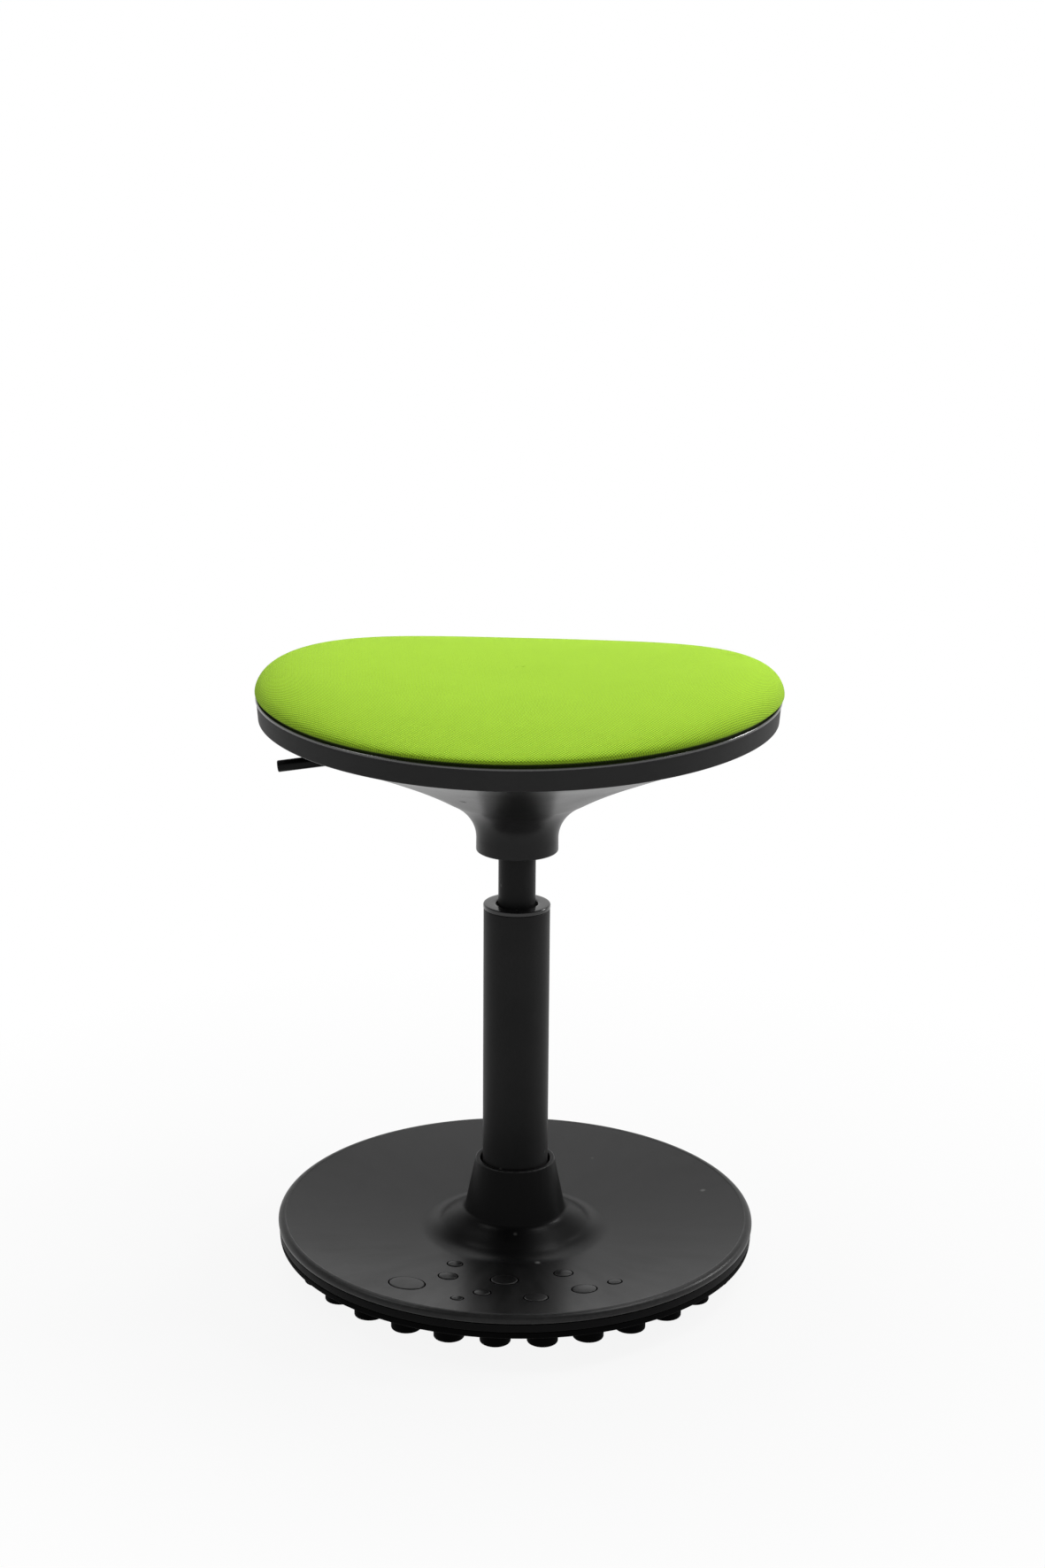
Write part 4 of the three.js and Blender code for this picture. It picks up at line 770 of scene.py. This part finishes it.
def coverProfile():
    # Rim, dish, hump and cone, then the collar's lip and the lining, as one closed line in (r, z).
    look = named(coverLook)
    foot, top, wide, edge = look.rimFoot, look.rimTop, look.radius, look.bead - look.beadWidth
    ease, low, high, inward = look.rimBends
    start, belly = np.array([[wide - look.rimUndercut, foot]]), (wide, foot + look.belly)
    rim = np.vstack([bendTo(start[0], (wide - ease, foot), (wide, foot + low), belly, 6),
                     bendTo(belly, (wide, top - high), (wide - inward, top), (look.bead, top), 14)])
    step = bendTo((look.bead, top), (look.bead - look.beadBends[0], top),
                  (edge + look.beadBends[1], dishHeight(edge)), (edge, dishHeight(edge)), 5)
    base = dishHeight(look.hump[0][0])
    knots = [(r, base + rise) for r, rise in look.hump]
    r = np.linspace(edge, knots[0][0], 34)[1:-1]
    dish = np.stack([r, dishHeight(r)], 1)
    hump = np.vstack([[knots[0]], bendTo(*knots[:4], 14), bendTo(*knots[3:], 22)])
    crown, mouth = look.collarTop, look.collarTop - look.lipDepth
    lip = rounded([(*knots[-1], 0), (look.collar, crown, look.lipOuter), (look.bore, crown, look.lipInner),
                   (look.bore, mouth, look.lipFoot),
                   (look.collar - look.lipSlope[0], mouth - look.lipSlope[1], 0)],
                  closed=False, steps=6)[1:]
    inside = hump[::-4] + np.array([look.liningShift])
    inside = inside[inside[:, 1] > base]
    r = np.linspace(knots[0][0] - look.liningEnds[0], edge - look.liningEnds[1], 12)
    lining = np.stack([r, dishHeight(r) - look.wall], 1)
    end = np.array([[wide - look.rimUndercut - look.wall, foot]])
    return np.vstack([start, rim, step, dish, hump, densified(lip, look.longest, closed=False), inside,
                      lining, end])


def dotParts():
    # For each dot a disc with an eased edge and a low crown, and a ring that cuts a groove round it.
    look = named(dotLook)
    discs, grooves = [], []
    for radius, bearing, size, crown in dotPlaces:
        share = np.linspace(1, 0, look.rows)[:, None]
        dome = np.hstack([(size - look.corner) * share, look.proud + crown * (1 - share ** 2)])
        side = rounded([(0, -look.root, 0), (size, -look.root, 0), (size, look.proud, look.corner),
                        (*dome[1], 0)],
                       closed=False)[:-1]
        inner, outer, low = size - look.overlap, size + look.groove, -look.grooveDepth
        ring = [[inner, low], [outer, low], [outer + look.grooveFlare, look.grooveTop],
                [inner, look.grooveTop]]
        place = dict(offset=(radius, 0, dishHeight(radius)),
                     tilt=-math.asin(radius / coverLook["dishRadius"]),
                     bearing=math.radians(bearing - 90))
        discs.append(moved(turned(np.vstack([side, dome[1:]]), look.segments, closed=False), **place))
        grooves.append(moved(turned(np.array(ring), look.segments), **place))
    return gathered(discs), gathered(grooves)


makePiece("soleRubber", soleSurface(), "base", ["rubber_sole"], "sole_rubber")
makePiece("trayShell", traySurface(), "base", ["base_tray"], "tray_plastic")
discs, grooves = dotParts()
cover = makePiece("coverDish", turned(coverProfile(), coverLook["segments"]), "base", ["base_cover"],
                  "cover_plastic")
cutAway(cover, grooves)
joinSurface(cover, discs)
print("stage: base made")


# The column: outer tube, cap and gas cylinder.

columnLook = dict(radius=25.0, wall=2.0, low=25.54, high=286.34, edge=0.5, floorLow=30.94, floorHigh=33.94,
                  floorBore=5.3, longest=12.0, segments=160)


def columnSurface():
    # An upright tube with eased ends and a pierced floor near its foot.
    look = named(columnLook)
    bore = look.radius - look.wall
    corners = [(bore, look.low, look.edge), (look.radius, look.low, look.edge),
               (look.radius, look.high, look.edge),
               (bore, look.high, look.edge), (bore, look.floorHigh, 0), (look.floorBore, look.floorHigh, 0),
               (look.floorBore, look.floorLow, 0), (bore, look.floorLow, 0)]
    return lathed(corners, look.longest, look.segments)


capLook = dict(low=286.64, high=289.84, outer=25.3, edge=1.1, bore=15.9, innerEdge=0.9, spigot=22.7,
               spigotWall=2.2,
               spigotLow=277.34, ease=0.3, longest=3.0, segments=160)


def capSurface():
    # A flat ring with eased edges over the tube's end, and a spigot that stands inside the tube.
    look = named(capLook)
    inner = look.spigot - look.spigotWall
    corners = [(look.bore, look.low, look.ease), (inner, look.low, 0), (inner, look.spigotLow, look.ease),
               (look.spigot, look.spigotLow, look.ease), (look.spigot, look.low, 0),
               (look.outer, look.low, look.ease),
               (look.outer, look.high, look.edge), (look.bore, look.high, look.innerEdge)]
    return lathed(corners, look.longest, look.segments)


springLook = dict(low=56.04, high=407.34, radius=14.0, top=13.2, taperLow=347.34, bore=12.0, pinBore=3.3,
                  crownLow=393.34, edge=0.8, innerEdge=0.6, pinEdge=0.4, crownEdge=1.0, longest=12.0,
                  segments=128)


def springSurface():
    # The gas cylinder: a plain tube with a rolled lower edge, a slight taper at the top and a pierced
    # crown.
    look = named(springLook)
    corners = [(look.bore, look.low, look.innerEdge), (look.radius, look.low, look.edge),
               (look.radius, look.taperLow, 0), (look.top, look.high, look.edge),
               (look.pinBore, look.high, look.pinEdge),
               (look.pinBore, look.crownLow, 0), (look.bore, look.crownLow, look.crownEdge)]
    return lathed(corners, look.longest, look.segments)


makePiece("columnOuterTube", columnSurface(), "base", ["column_tube"], "column_coat")
makePiece("columnCap", capSurface(), "base", ["tube_cap"], "cap_gloss")
makePiece("gasSpringTube", springSurface(), "seat", ["gas_cylinder"], "cylinder_coat")
print("stage: column made")


# The seat's shell and lever. Heights of the shell are over its foot.

shellLook = dict(
    foot=331.34, bossHole=17.5, boss=30.75, bossCorner=1.3, waist=30.65, waistRise=9.7,
    trumpet=(54.9, 41.1),
    trumpetReach=14.0, trumpetEnd=(14.4, 7.1), swell=(97.0, 66.2), bowl=(189.2, 98.9),
    rimFoot=(190.6, 99.2),
    rimCorner=0.9, face=(191.8, 112.7), lip=(192.5, 113.3), lipCorner=0.95, lipEases=(0.3, 0.4, 0.5),
    rimRise=114.9,
    rimDepth=5.0, lipDrop=0.5, wall=3.0, saddleDegrees=175.4, footSway=(1.1, 3.4), rimSway=(2.2, 3.6),
    swayFrom=110.0,
    ledgeRise=102.4, ledgeWidth=8.0, ledgeDepth=4.0, liningFrom=1.5, liningTo=3.0, liningGap=1.0,
    segments=288,
    slotWidth=11.5, slotInner=92.0, slotOuter=168.0, slotPoints=64, slotTop=0.5)
towerLook = dict(outer=6.0, bore=4.3, circle=140.0, count=4, seat=5.5, shankBore=2.3, low=81.9, slope=0.417,
                 edge=0.4, innerEdge=0.2, segments=32)


def shellOuter():
    # Boss, trumpet, bowl and rim as one line in (r, z), from the hole in the boss to the rim's top.
    look = named(shellLook)
    up = lambda point: (point[0], look.foot + point[1])
    waist, end, swell, bowlEnd = (look.waist, look.waistRise), look.trumpet, look.swell, look.bowl
    boss = rounded([(*up((look.bossHole, 0)), 0), (*up((look.boss, 0)), look.bossCorner), (*up(waist), 0)],
                   closed=False)
    trumpet = bendTo(up(waist), up((waist[0], waist[1] + look.trumpetReach)),
                     (end[0] - look.trumpetEnd[0], up(end)[1] - look.trumpetEnd[1]), up(end), 22)
    a, b, middle = (np.array(up(point)) for point in (end, bowlEnd, swell))
    bowl = bendTo(a, a + (middle - a) * 2 / 3, b + (middle - b) * 2 / 3, b, 30)
    top, inner = look.foot + look.rimRise, look.lip[0] - look.wall
    rim = rounded([(*up(bowlEnd), 0), (*up(look.rimFoot), look.rimCorner),
                   (*up(look.face), look.lipEases[0]),
                   (*up(look.lip), look.lipEases[1]), (look.lip[0], top, look.lipCorner),
                   (inner, top - look.lipDrop, look.lipEases[2]), (inner, top - look.rimDepth, 0)],
                  closed=False, steps=6)[1:]
    return np.vstack([boss, trumpet, bowl, rim])


def shellProfile():
    # The outer line, then back inside it: the rim's inner face, the board's ledge and the lining of the
    # bowl.
    look = named(shellLook)
    outer = shellOuter()
    z, inner = look.foot + look.ledgeRise, look.lip[0] - look.wall
    ledge = np.array([[inner, z], [inner - look.ledgeWidth, z],
                      [inner - look.ledgeWidth, z - look.ledgeDepth]])
    low, high = look.foot + look.liningFrom, look.foot + look.bowl[1] - look.liningTo
    line = outer[(outer[:, 1] < high) & (outer[:, 1] > low)]
    along = np.gradient(line, axis=0)
    along /= np.linalg.norm(along, axis=1)[:, None]
    lining = (line + np.stack([-along[:, 1], along[:, 0]], 1) * look.wall)[::-2]
    lining = lining[lining[:, 0] < inner - look.ledgeWidth - look.liningGap]
    floor = look.foot + look.wall
    return np.vstack([outer, ledge, lining, [[lining[-1][0], floor], [look.bossHole, floor]]])


def swayed(points):
    # The rim follows the cushion's saddle: z += mean + sway * cos(2 * (bearing - the saddle's own)), faded
    # in over the bowl by a smooth step of the radius; the values blend from the rim's foot to its top.
    look = named(shellLook)
    x, y, z = points.T / mm
    r, bearing = np.hypot(x, y), np.arctan2(y, x)
    share = np.clip((r - look.swayFrom) / (look.bowl[0] - look.swayFrom), 0, 1)
    share = share ** 2 * (3 - 2 * share)
    up = np.clip((z - look.foot - look.rimFoot[1]) / (look.rimRise - look.rimFoot[1]), 0, 1)
    mean, sway = (low + (high - low) * up for low, high in zip(look.footSway, look.rimSway))
    lift = (mean + sway * np.cos(2 * (bearing - math.radians(look.saddleDegrees)))) * share
    onLedge = (r < look.lip[0] - look.wall + 0.1) & (np.abs(z - look.foot - look.ledgeRise) < 0.1)
    made = points.copy()
    made[:, 2] += np.where(onLedge, 0, lift) * mm
    return made


def ringOf(surface):
    # One copy of a surface for each screw tower, round Z.
    look = named(towerLook)
    return [moved(surface, (look.circle, 0, 0),
                  bearing=turn / 8 + k * turn / look.count) for k in range(look.count)]


def slotCutter():
    # A long round-ended hole along -X, and four round holes on a circle, as upright prisms through the
    # bowl.
    look, tower = named(shellLook), named(towerLook)
    half, count, top = look.slotWidth / 2, look.slotPoints, look.foot + look.ledgeRise
    angle = np.arange(count) / count * turn
    ends = np.where(np.cos(angle) > 0, -look.slotInner - half, -look.slotOuter + half)
    ring = np.stack([ends + half * np.cos(angle), half * np.sin(angle)], 1) * mm
    low, high = (np.hstack([ring, np.full((count, 1), height * mm)])
                 for height in (look.foot + look.trumpet[1], top - look.slotTop))
    lowMiddle, highMiddle = (np.array([[ring[:, 0].mean(), 0, p[0, 2]]]).repeat(count, 0) for p in (low,
                                                                                                    high))
    points = np.vstack([lowMiddle, low, high, highMiddle])
    slot = (points, gridQuads(4, count, False), np.zeros(len(points)))
    bore = turned(np.array([[0, look.foot], [tower.bore, look.foot], [tower.bore, top - tower.seat],
                            [0, top - tower.seat]]), tower.segments, closed=False)
    return gathered([slot, *ringOf(bore)])


def towerSurface():
    # Screw towers: round tubes from inside the bowl's sloping wall up to the board, each with a seat for
    # its screw's head; their low ends slope with the wall.
    look = named(towerLook)
    top, low = shellLook["foot"] + shellLook["ledgeRise"], shellLook["foot"] + look.low
    seat = top - look.seat
    corners = [(look.bore, low, 0), (look.outer, low, 0), (look.outer, top, look.edge),
               (look.shankBore, top, look.innerEdge), (look.shankBore, seat, look.innerEdge),
               (look.bore, seat, 0)]
    points, quads, shares = turned(rounded(corners), look.segments)
    points[:, 2] += np.where(points[:, 2] < (low + 1) * mm, points[:, 0] * look.slope, 0)
    return gathered(ringOf((points, quads, shares)))


leverLook = dict(pivot=(-27.0, 415.49), droopDegrees=7.6, tip=177.5, rodRadius=4.4, tipEdge=0.8,
                 rodInset=3.0,
                 blockLength=18.0, blockHeight=11.0, width=8.6, noseReach=32.0, noseLow=-4.0, noseHigh=3.2,
                 bore=2.8,
                 blockPoints=96, longest=12.0, segments=48)


def leverSurface():
    # A round rod with an eased end, and a flat pivot block with a nose, whose outline is met from the
    # pivot: along each direction the block or the nose ends, whichever is further.
    look = named(leverLook)
    droop, start = math.radians(look.droopDegrees), look.blockLength / 2 - look.rodInset
    length = (look.tip + look.pivot[0]) / math.cos(droop)
    rod = rounded([(0, start, 0), (look.rodRadius, start, 0), (look.rodRadius, length, look.tipEdge),
                   (0, length, 0)],
                  closed=False)
    rod = turned(densified(rod, look.longest, closed=False), look.segments, closed=False)
    angle = np.arange(look.blockPoints) / look.blockPoints * turn
    c, s = np.cos(angle), np.sin(angle)
    wide, tall = np.maximum(np.abs(c), tiny), np.maximum(np.abs(s), tiny)
    reach = np.minimum(look.blockLength / 2 / wide, look.blockHeight / 2 / tall)
    toEnd = np.where(c > 0, look.noseReach / wide, 0)
    toSide = np.where(s > 0, look.noseHigh, -look.noseLow) / tall
    reach = np.maximum(reach, np.minimum(toEnd, toSide))
    rows = [np.stack([radius * c, np.full(len(angle), side * look.width / 2), radius * s], 1) * mm
            for radius, side in ((look.bore, -1), (reach, -1), (reach, 1), (look.bore, 1))]
    points = np.vstack(rows)
    block = (points, gridQuads(len(rows), len(angle), True), np.zeros(len(points)))
    return moved(gathered([moved(rod, tilt=-math.pi / 2), block]), (look.pivot[0], 0, look.pivot[1]),
                 tilt=-droop)


points, quads, shares = turned(shellProfile(), shellLook["segments"])
shell = makePiece("seatShell", (swayed(points), quads, shares), "seat", ["seat_shell"], "shell_plastic")
cutAway(shell, slotCutter())
joinSurface(shell, towerSurface())
lever = makePiece("leverRod", leverSurface(), "lever", ["release_lever"], "lever_coat")
lever.data.set_sharp_from_angle(angle=math.radians(40))
print("stage: shell and lever made")


# The cushion, its hem and the foam.

cushionLook = dict(
    radius=193.5, aside=0.5, asideRise=6.0, widest=452.04, crown=18.1, saddle=10.7, lean=3.0,
    bearingDegrees=172.2,
    flatness=5.6, roll=2.1, rightLift=1.0, tuck=190.7, tuckHeight=450.0, tuckSway=3.4, hem=188.4,
    hemDrop=2.5,
    foot=444.34, footRadius=187.6, middleShare=0.6, gather=0.8, around=240, along=60)
clothLook = dict(inset=2.0, voxel=0.005, smooth=0.5, smoothSteps=2, quality=6, mass=0.3, stretch=12.0,
                 bend=1.5,
                 pressure=4.0, frames=20, cap=0.006, natural=0.5, heldRise=8.0, levels=10, turns=72,
                 rings=32, blurs=4)


def saddleSway(bearing):
    return np.cos(2 * (bearing - math.radians(cushionLook["bearingDegrees"])))


def tuckLine(bearing):
    # Height of the tuck behind the rim: tuckHeight + tuckSway * the saddle's sway.
    return cushionLook["tuckHeight"] + cushionLook["tuckSway"] * saddleSway(bearing)


def cushionTop(share, bearing, inset=0.0):
    # Height over the cushion: roll = (1 - s^flatness)^(1/roll); z = widest + crown * roll + (saddle * roll
    # + lean) * s^2 * sway + a lift of the right side that goes with s^3 and the bearing's cosine; the inset
    # is taken off along the roll.
    look = named(cushionLook)
    roll = (1 - share ** look.flatness) ** (1 / look.roll)
    rise = roll * look.crown + (look.saddle * roll + look.lean) * share ** 2 * saddleSway(bearing)
    rise = rise + look.rightLift * roll ** 0.5 * share ** 3 * np.clip(np.cos(bearing), 0, 1)
    return (look.radius - inset) * share, look.widest + rise - inset * roll


def cushionSurface(inset):
    # Rows of (r, z) at every bearing: the middle of the foot, out under the rim, up round the roll, in over
    # the crown. They are carried round Z, x = r cos a + aside, y = r sin a, and the cushion sits a little
    # aside.
    look = named(cushionLook)
    bearing = np.arange(look.around) / look.around * turn
    tuck = tuckLine(bearing)
    rows = [(0, look.foot), (look.footRadius * look.middleShare, look.foot),
            (look.footRadius - inset, look.foot),
            (look.hem - inset, tuck - look.hemDrop), (look.tuck - inset, tuck)]
    for share in np.sin(np.linspace(1, 0, look.along) * math.pi / 2) ** look.gather:
        rows.append(cushionTop(share, bearing, inset))
    r, z = (np.stack([np.broadcast_to(row[side],
                                      bearing.shape) for row in rows]).astype(float) for side in (0, 1))
    aside = look.aside * np.clip((z - look.foot) / look.asideRise, 0, 1)
    points = np.stack([r * np.cos(bearing) + aside, r * np.sin(bearing), z], -1) * mm
    return points.reshape(-1, 3), gridQuads(len(rows), look.around, False), np.zeros(r.size)


def pointsOf(mesh, kind="position"):
    # The mesh's positions or its normals, as rows of three.
    values = np.zeros(len(mesh.vertices) * 3, np.float32)
    if kind == "position":
        mesh.vertices.foreach_get("co", values)
    else:
        mesh.vertex_normals.foreach_get("vector", values)
    return values.reshape(-1, 3).astype(float)


def freeShare(points):
    # 0 on the foot and in the tuck, which are held, rising to 1 a little above the rim.
    tuck = tuckLine(np.arctan2(points[:, 1], points[:, 0]))
    return np.clip((points[:, 2] / mm - tuck) / clothLook["heldRise"], 0, 1)


def blownUp():
    # The cushion's form as cloth: voxel-remeshed, held by its foot and blown up by pressure. Gives its
    # points and how far each has moved along its normal, capped.
    look = named(clothLook)
    form = makePiece("cushionForm", cushionSurface(look.inset))
    remesh = form.modifiers.new("remesh", "REMESH")
    remesh.mode, remesh.voxel_size = "VOXEL", look.voxel
    smooth = form.modifiers.new("smooth", "SMOOTH")
    smooth.factor, smooth.iterations = look.smooth, look.smoothSteps
    swapMesh(form, evaluatedMesh(form))
    start, normals = pointsOf(form.data), pointsOf(form.data, "normal")
    free = freeShare(start)
    held = form.vertex_groups.new(name="held")
    for level in range(look.levels + 1):
        chosen = np.flatnonzero(np.round(free * look.levels) == level)
        held.add(chosen.tolist(), 1 - level / look.levels, "REPLACE")
    cloth = form.modifiers.new("cloth", "CLOTH")
    made = cloth.settings
    made.quality, made.mass = look.quality, look.mass
    made.tension_stiffness = made.compression_stiffness = look.stretch
    made.bending_stiffness = look.bend
    made.use_pressure, made.uniform_pressure_force = True, look.pressure
    made.effector_weights.gravity = 0
    made.vertex_group_mass = "held"
    cloth.point_cache.frame_start, cloth.point_cache.frame_end = 1, look.frames
    for step in range(1, look.frames + 1):
        bpy.context.scene.frame_set(step)
    ended = pointsOf(evaluatedMesh(form))
    bpy.context.scene.frame_set(1)
    bpy.data.objects.remove(form)
    swell = np.clip(((ended - start) * normals).sum(1), -look.cap, look.cap)
    mean = swell[free > 0.9].mean()
    print("stage: cushion swelled by", round(float(mean / mm), 2), "mm on average")
    return start, (swell - mean) * free


def readOff(points, values, wanted):
    # The values' mean in each cell of a polar grid, blurred with its neighbours, then read between cells.
    turns, rings = clothLook["turns"], clothLook["rings"]

    def cell(spots):
        ring = np.hypot(spots[:, 0], spots[:, 1]) / (cushionLook["radius"] * mm) * (rings - 1)
        return np.clip(ring, 0, rings - 1.001), np.arctan2(spots[:, 1], spots[:, 0]) / turn * turns % turns

    ring, way = cell(points)
    total, count = np.zeros((rings, turns)), np.zeros((rings, turns))
    place = (np.round(ring).astype(int), np.round(way).astype(int) % turns)
    np.add.at(total, place, values)
    np.add.at(count, place, 1)
    for _ in range(clothLook["blurs"]):
        total, count = ((a + np.roll(a, 1, 1) + np.roll(a, -1, 1)) / 3 for a in (total, count))
        total, count = ((a + np.vstack([a[:1], a[:-1]]) + np.vstack([a[1:], a[-1:]])) / 3 for a in (total,
                                                                                                    count))
    field = total / np.maximum(count, tiny)
    ring, way = cell(wanted)
    r, w = ring.astype(int), way.astype(int) % turns
    inR, inW = ring - r, way - np.floor(way)
    low, high = (field[k, w] * (1 - inW) + field[k, (w + 1) % turns] * inW for k in (r, r + 1))
    return low * (1 - inR) + high * inR


def inflate(piece):
    # The cloth's swelling, less its mean, is carried over to the cushion's own even grid along its normals,
    # so that the outline stays as measured.
    start, normals = pointsOf(piece.data), pointsOf(piece.data, "normal")
    swell = readOff(*blownUp(), start) * freeShare(start) * clothLook["natural"]
    piece.data.vertices.foreach_set("co", (start + normals * swell[:, None]).astype(np.float32).ravel())
    piece.data.update()


def mapWeave(piece, columns):
    # A flat map of the cloth: each grid point's distance from the middle of the crown, measured along its
    # own line of the grid, is laid out along its bearing.
    points = pointsOf(piece.data).reshape(-1, columns, 3)
    step = np.linalg.norm(np.diff(points, axis=0), axis=2)
    reach = np.vstack([np.cumsum(step[::-1], axis=0)[::-1], np.zeros((1, columns))])
    bearing = np.arange(columns) / columns * turn
    flat = np.stack([reach * np.cos(bearing), reach * np.sin(bearing)], -1).reshape(-1, 2)
    corners = np.zeros(len(piece.data.loops), np.int32)
    piece.data.loops.foreach_get("vertex_index", corners)
    piece.data.uv_layers.new(name="weave").data.foreach_set("uv", flat[corners].astype(np.float32).ravel())


hemLook = dict(low=440.2, over=0.8, radius=189.1, thickness=1.2, segments=240)


def hemSurface():
    # The cover's hem: a thin band of cloth round the board's edge, whose top follows the tuck's rise and
    # fall. It lies within the fabric's painted tuck shade, so it shows dark in the gap at the rim.
    look = named(hemLook)
    inner, high = look.radius - look.thickness, look.low + 1
    outline = np.array([(inner, look.low), (look.radius, look.low), (look.radius, high), (inner, high)])
    points, quads, shares = turned(outline, look.segments)
    top = (tuckLine(np.arctan2(points[:, 1], points[:, 0])) + look.over) * mm
    points[:, 2] = np.where(points[:, 2] > (look.low + high) / 2 * mm, top, points[:, 2])
    return points, quads, shares


cushion = makePiece("cushionCover", cushionSurface(0.0), weld=False)
inflate(cushion)
mapWeave(cushion, cushionLook["around"])
welded(cushion.data)
finer = cushion.modifiers.new("finer", "SUBSURF")
finer.levels = finer.render_levels = 1
cushion.data.materials.append(materials["seat_fabric"])
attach(cushion, "seat")
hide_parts("seat_fabric")

hem = makePiece("cushionHem", hemSurface(), "seat", ["seat_fabric"], "seat_fabric", weld=False)
mapWeave(hem, hemLook["segments"])

foamPad = makePiece("foamPad", cushionSurface(7.5), "seat", ["seat_foam"], "foam")
print("stage: cushion made")


# The studio: floor, surroundings, lamps and camera.

studioLook = dict(floorSize=6.0, floorColour=(0.6, 0.6, 0.6, 1), floorShown=0.9, floorFades=(0.25, 0.7),
                  worldLight=0.22, worldDim=(0.45, 0.68))
lampLooks = {
    "keyLamp": dict(power=13.0, size=0.6, place=(1.0, 0.1, 2.05), aim=(0, 0, 0.25)),
    "fillLamp": dict(power=5.0, size=0.6, place=(-1.15, 0.0, 1.75), aim=(0, 0, 0.25)),
    "skyLamp": dict(power=34.0, size=2.4, place=(0.1, 1.1, 2.4), aim=(0, 0, 0.25)),
    "edgeLamp": dict(power=13.0, size=0.45, place=(1.7, 0.6, 1.2), aim=(0, 0, 0.4))}
cameraLook = dict(lens=58.37, sensor=36.0, shift=0.037, place=(-0.0394, -1.8167, 0.8758), pitch=74.795,
                  roll=0.073)


def linked(name, data):
    holder = bpy.data.objects.new(name, data)
    bpy.context.scene.collection.objects.link(holder)
    return holder


def seenPlainly(tree):
    # 1 for what the camera sees, also in reflections and through clear pieces.
    path = tree.nodes.new("ShaderNodeLightPath").outputs
    direct = sums(tree, "MAXIMUM", path["Is Camera Ray"], path["Is Glossy Ray"])
    return sums(tree, "MAXIMUM", direct, path["Is Transmission Ray"])


def studioFloor():
    # A plain pale floor: seen plainly it is mostly white, so that its shadow stays soft, and all white far
    # off.
    size, look = studioLook["floorSize"], named(studioLook)
    mesh = bpy.data.meshes.new("studioFloor")
    mesh.from_pydata([(-size, -size, 0), (size, -size, 0), (size, size, 0), (-size, size, 0)], [],
                     [(0, 1, 2, 3)])
    material, tree, shader, place = startMaterial("studioFloor")
    tree.nodes.remove(shader)
    matt = put(tree, "ShaderNodeBsdfDiffuse", {"Color": look.floorColour})
    white = put(tree, "ShaderNodeEmission", {"Color": (1, 1, 1, 1), "Strength": 1.0})
    far = put(tree, "ShaderNodeVectorMath", {0: place}, operation="LENGTH").outputs["Value"]
    share = times(tree, seenPlainly(tree), spread(tree, far, *look.floorFades, look.floorShown, 1.0))
    mixed = put(tree, "ShaderNodeMixShader", {0: share, 1: matt.outputs[0], 2: white.outputs[0]})
    tree.links.new(mixed.outputs[0], tree.nodes["Material Output"].inputs["Surface"])
    mesh.materials.append(material)
    floor = linked("studioFloor", mesh)


def studioWorld():
    # White to the camera, and a plain even light on everything else. In reflections it is white near the
    # horizon and dims overhead, by a share that goes with the square of the direction's height.
    look = named(studioLook)
    world = bpy.data.worlds.new("studioWorld")
    bpy.context.scene.world = world
    world.use_nodes = True
    tree = world.node_tree
    tree.nodes.clear()
    plain = spread(tree, seenPlainly(tree), 0.0, 1.0, look.worldLight, 1.0)
    up = axesOf(tree, tree.nodes.new("ShaderNodeTexCoord").outputs["Generated"])[2]
    dim = spread(tree, times(tree, up, up), 0.0, look.worldDim[0], 0.0, look.worldDim[1])
    glossy = tree.nodes.new("ShaderNodeLightPath").outputs["Is Glossy Ray"]
    strength = sums(tree, "SUBTRACT", plain, times(tree, dim, glossy))
    shown = put(tree, "ShaderNodeBackground", {"Color": (1, 1, 1, 1), "Strength": strength})
    tree.links.new(shown.outputs[0], tree.nodes.new("ShaderNodeOutputWorld").inputs["Surface"])


def softLamp(name, power, size, place, aim):
    # A round lamp at its place, turned to the aim.
    lamp = bpy.data.lights.new(name, "AREA")
    lamp.shape, lamp.size, lamp.energy = "DISK", size, power
    holder = linked(name, lamp)
    x, y, z = np.array(aim) - np.array(place)
    holder.location = place
    holder.rotation_euler = (math.atan2(math.hypot(x, y), -z), 0, math.atan2(y, x) - math.pi / 2)


def studioCamera():
    look = named(cameraLook)
    camera = bpy.data.cameras.new("studioCamera")
    camera.lens, camera.sensor_width, camera.shift_x = look.lens, look.sensor, look.shift
    holder = linked("studioCamera", camera)
    holder.location = look.place
    holder.rotation_euler = (math.radians(look.pitch), 0, 0)
    holder.rotation_euler.rotate_axis("Z", math.radians(look.roll))
    bpy.context.scene.camera = holder


studioFloor()
studioWorld()
for name, lampLook in lampLooks.items():
    softLamp(name, **lampLook)
studioCamera()
bpy.context.scene.view_settings.view_transform = "Standard"
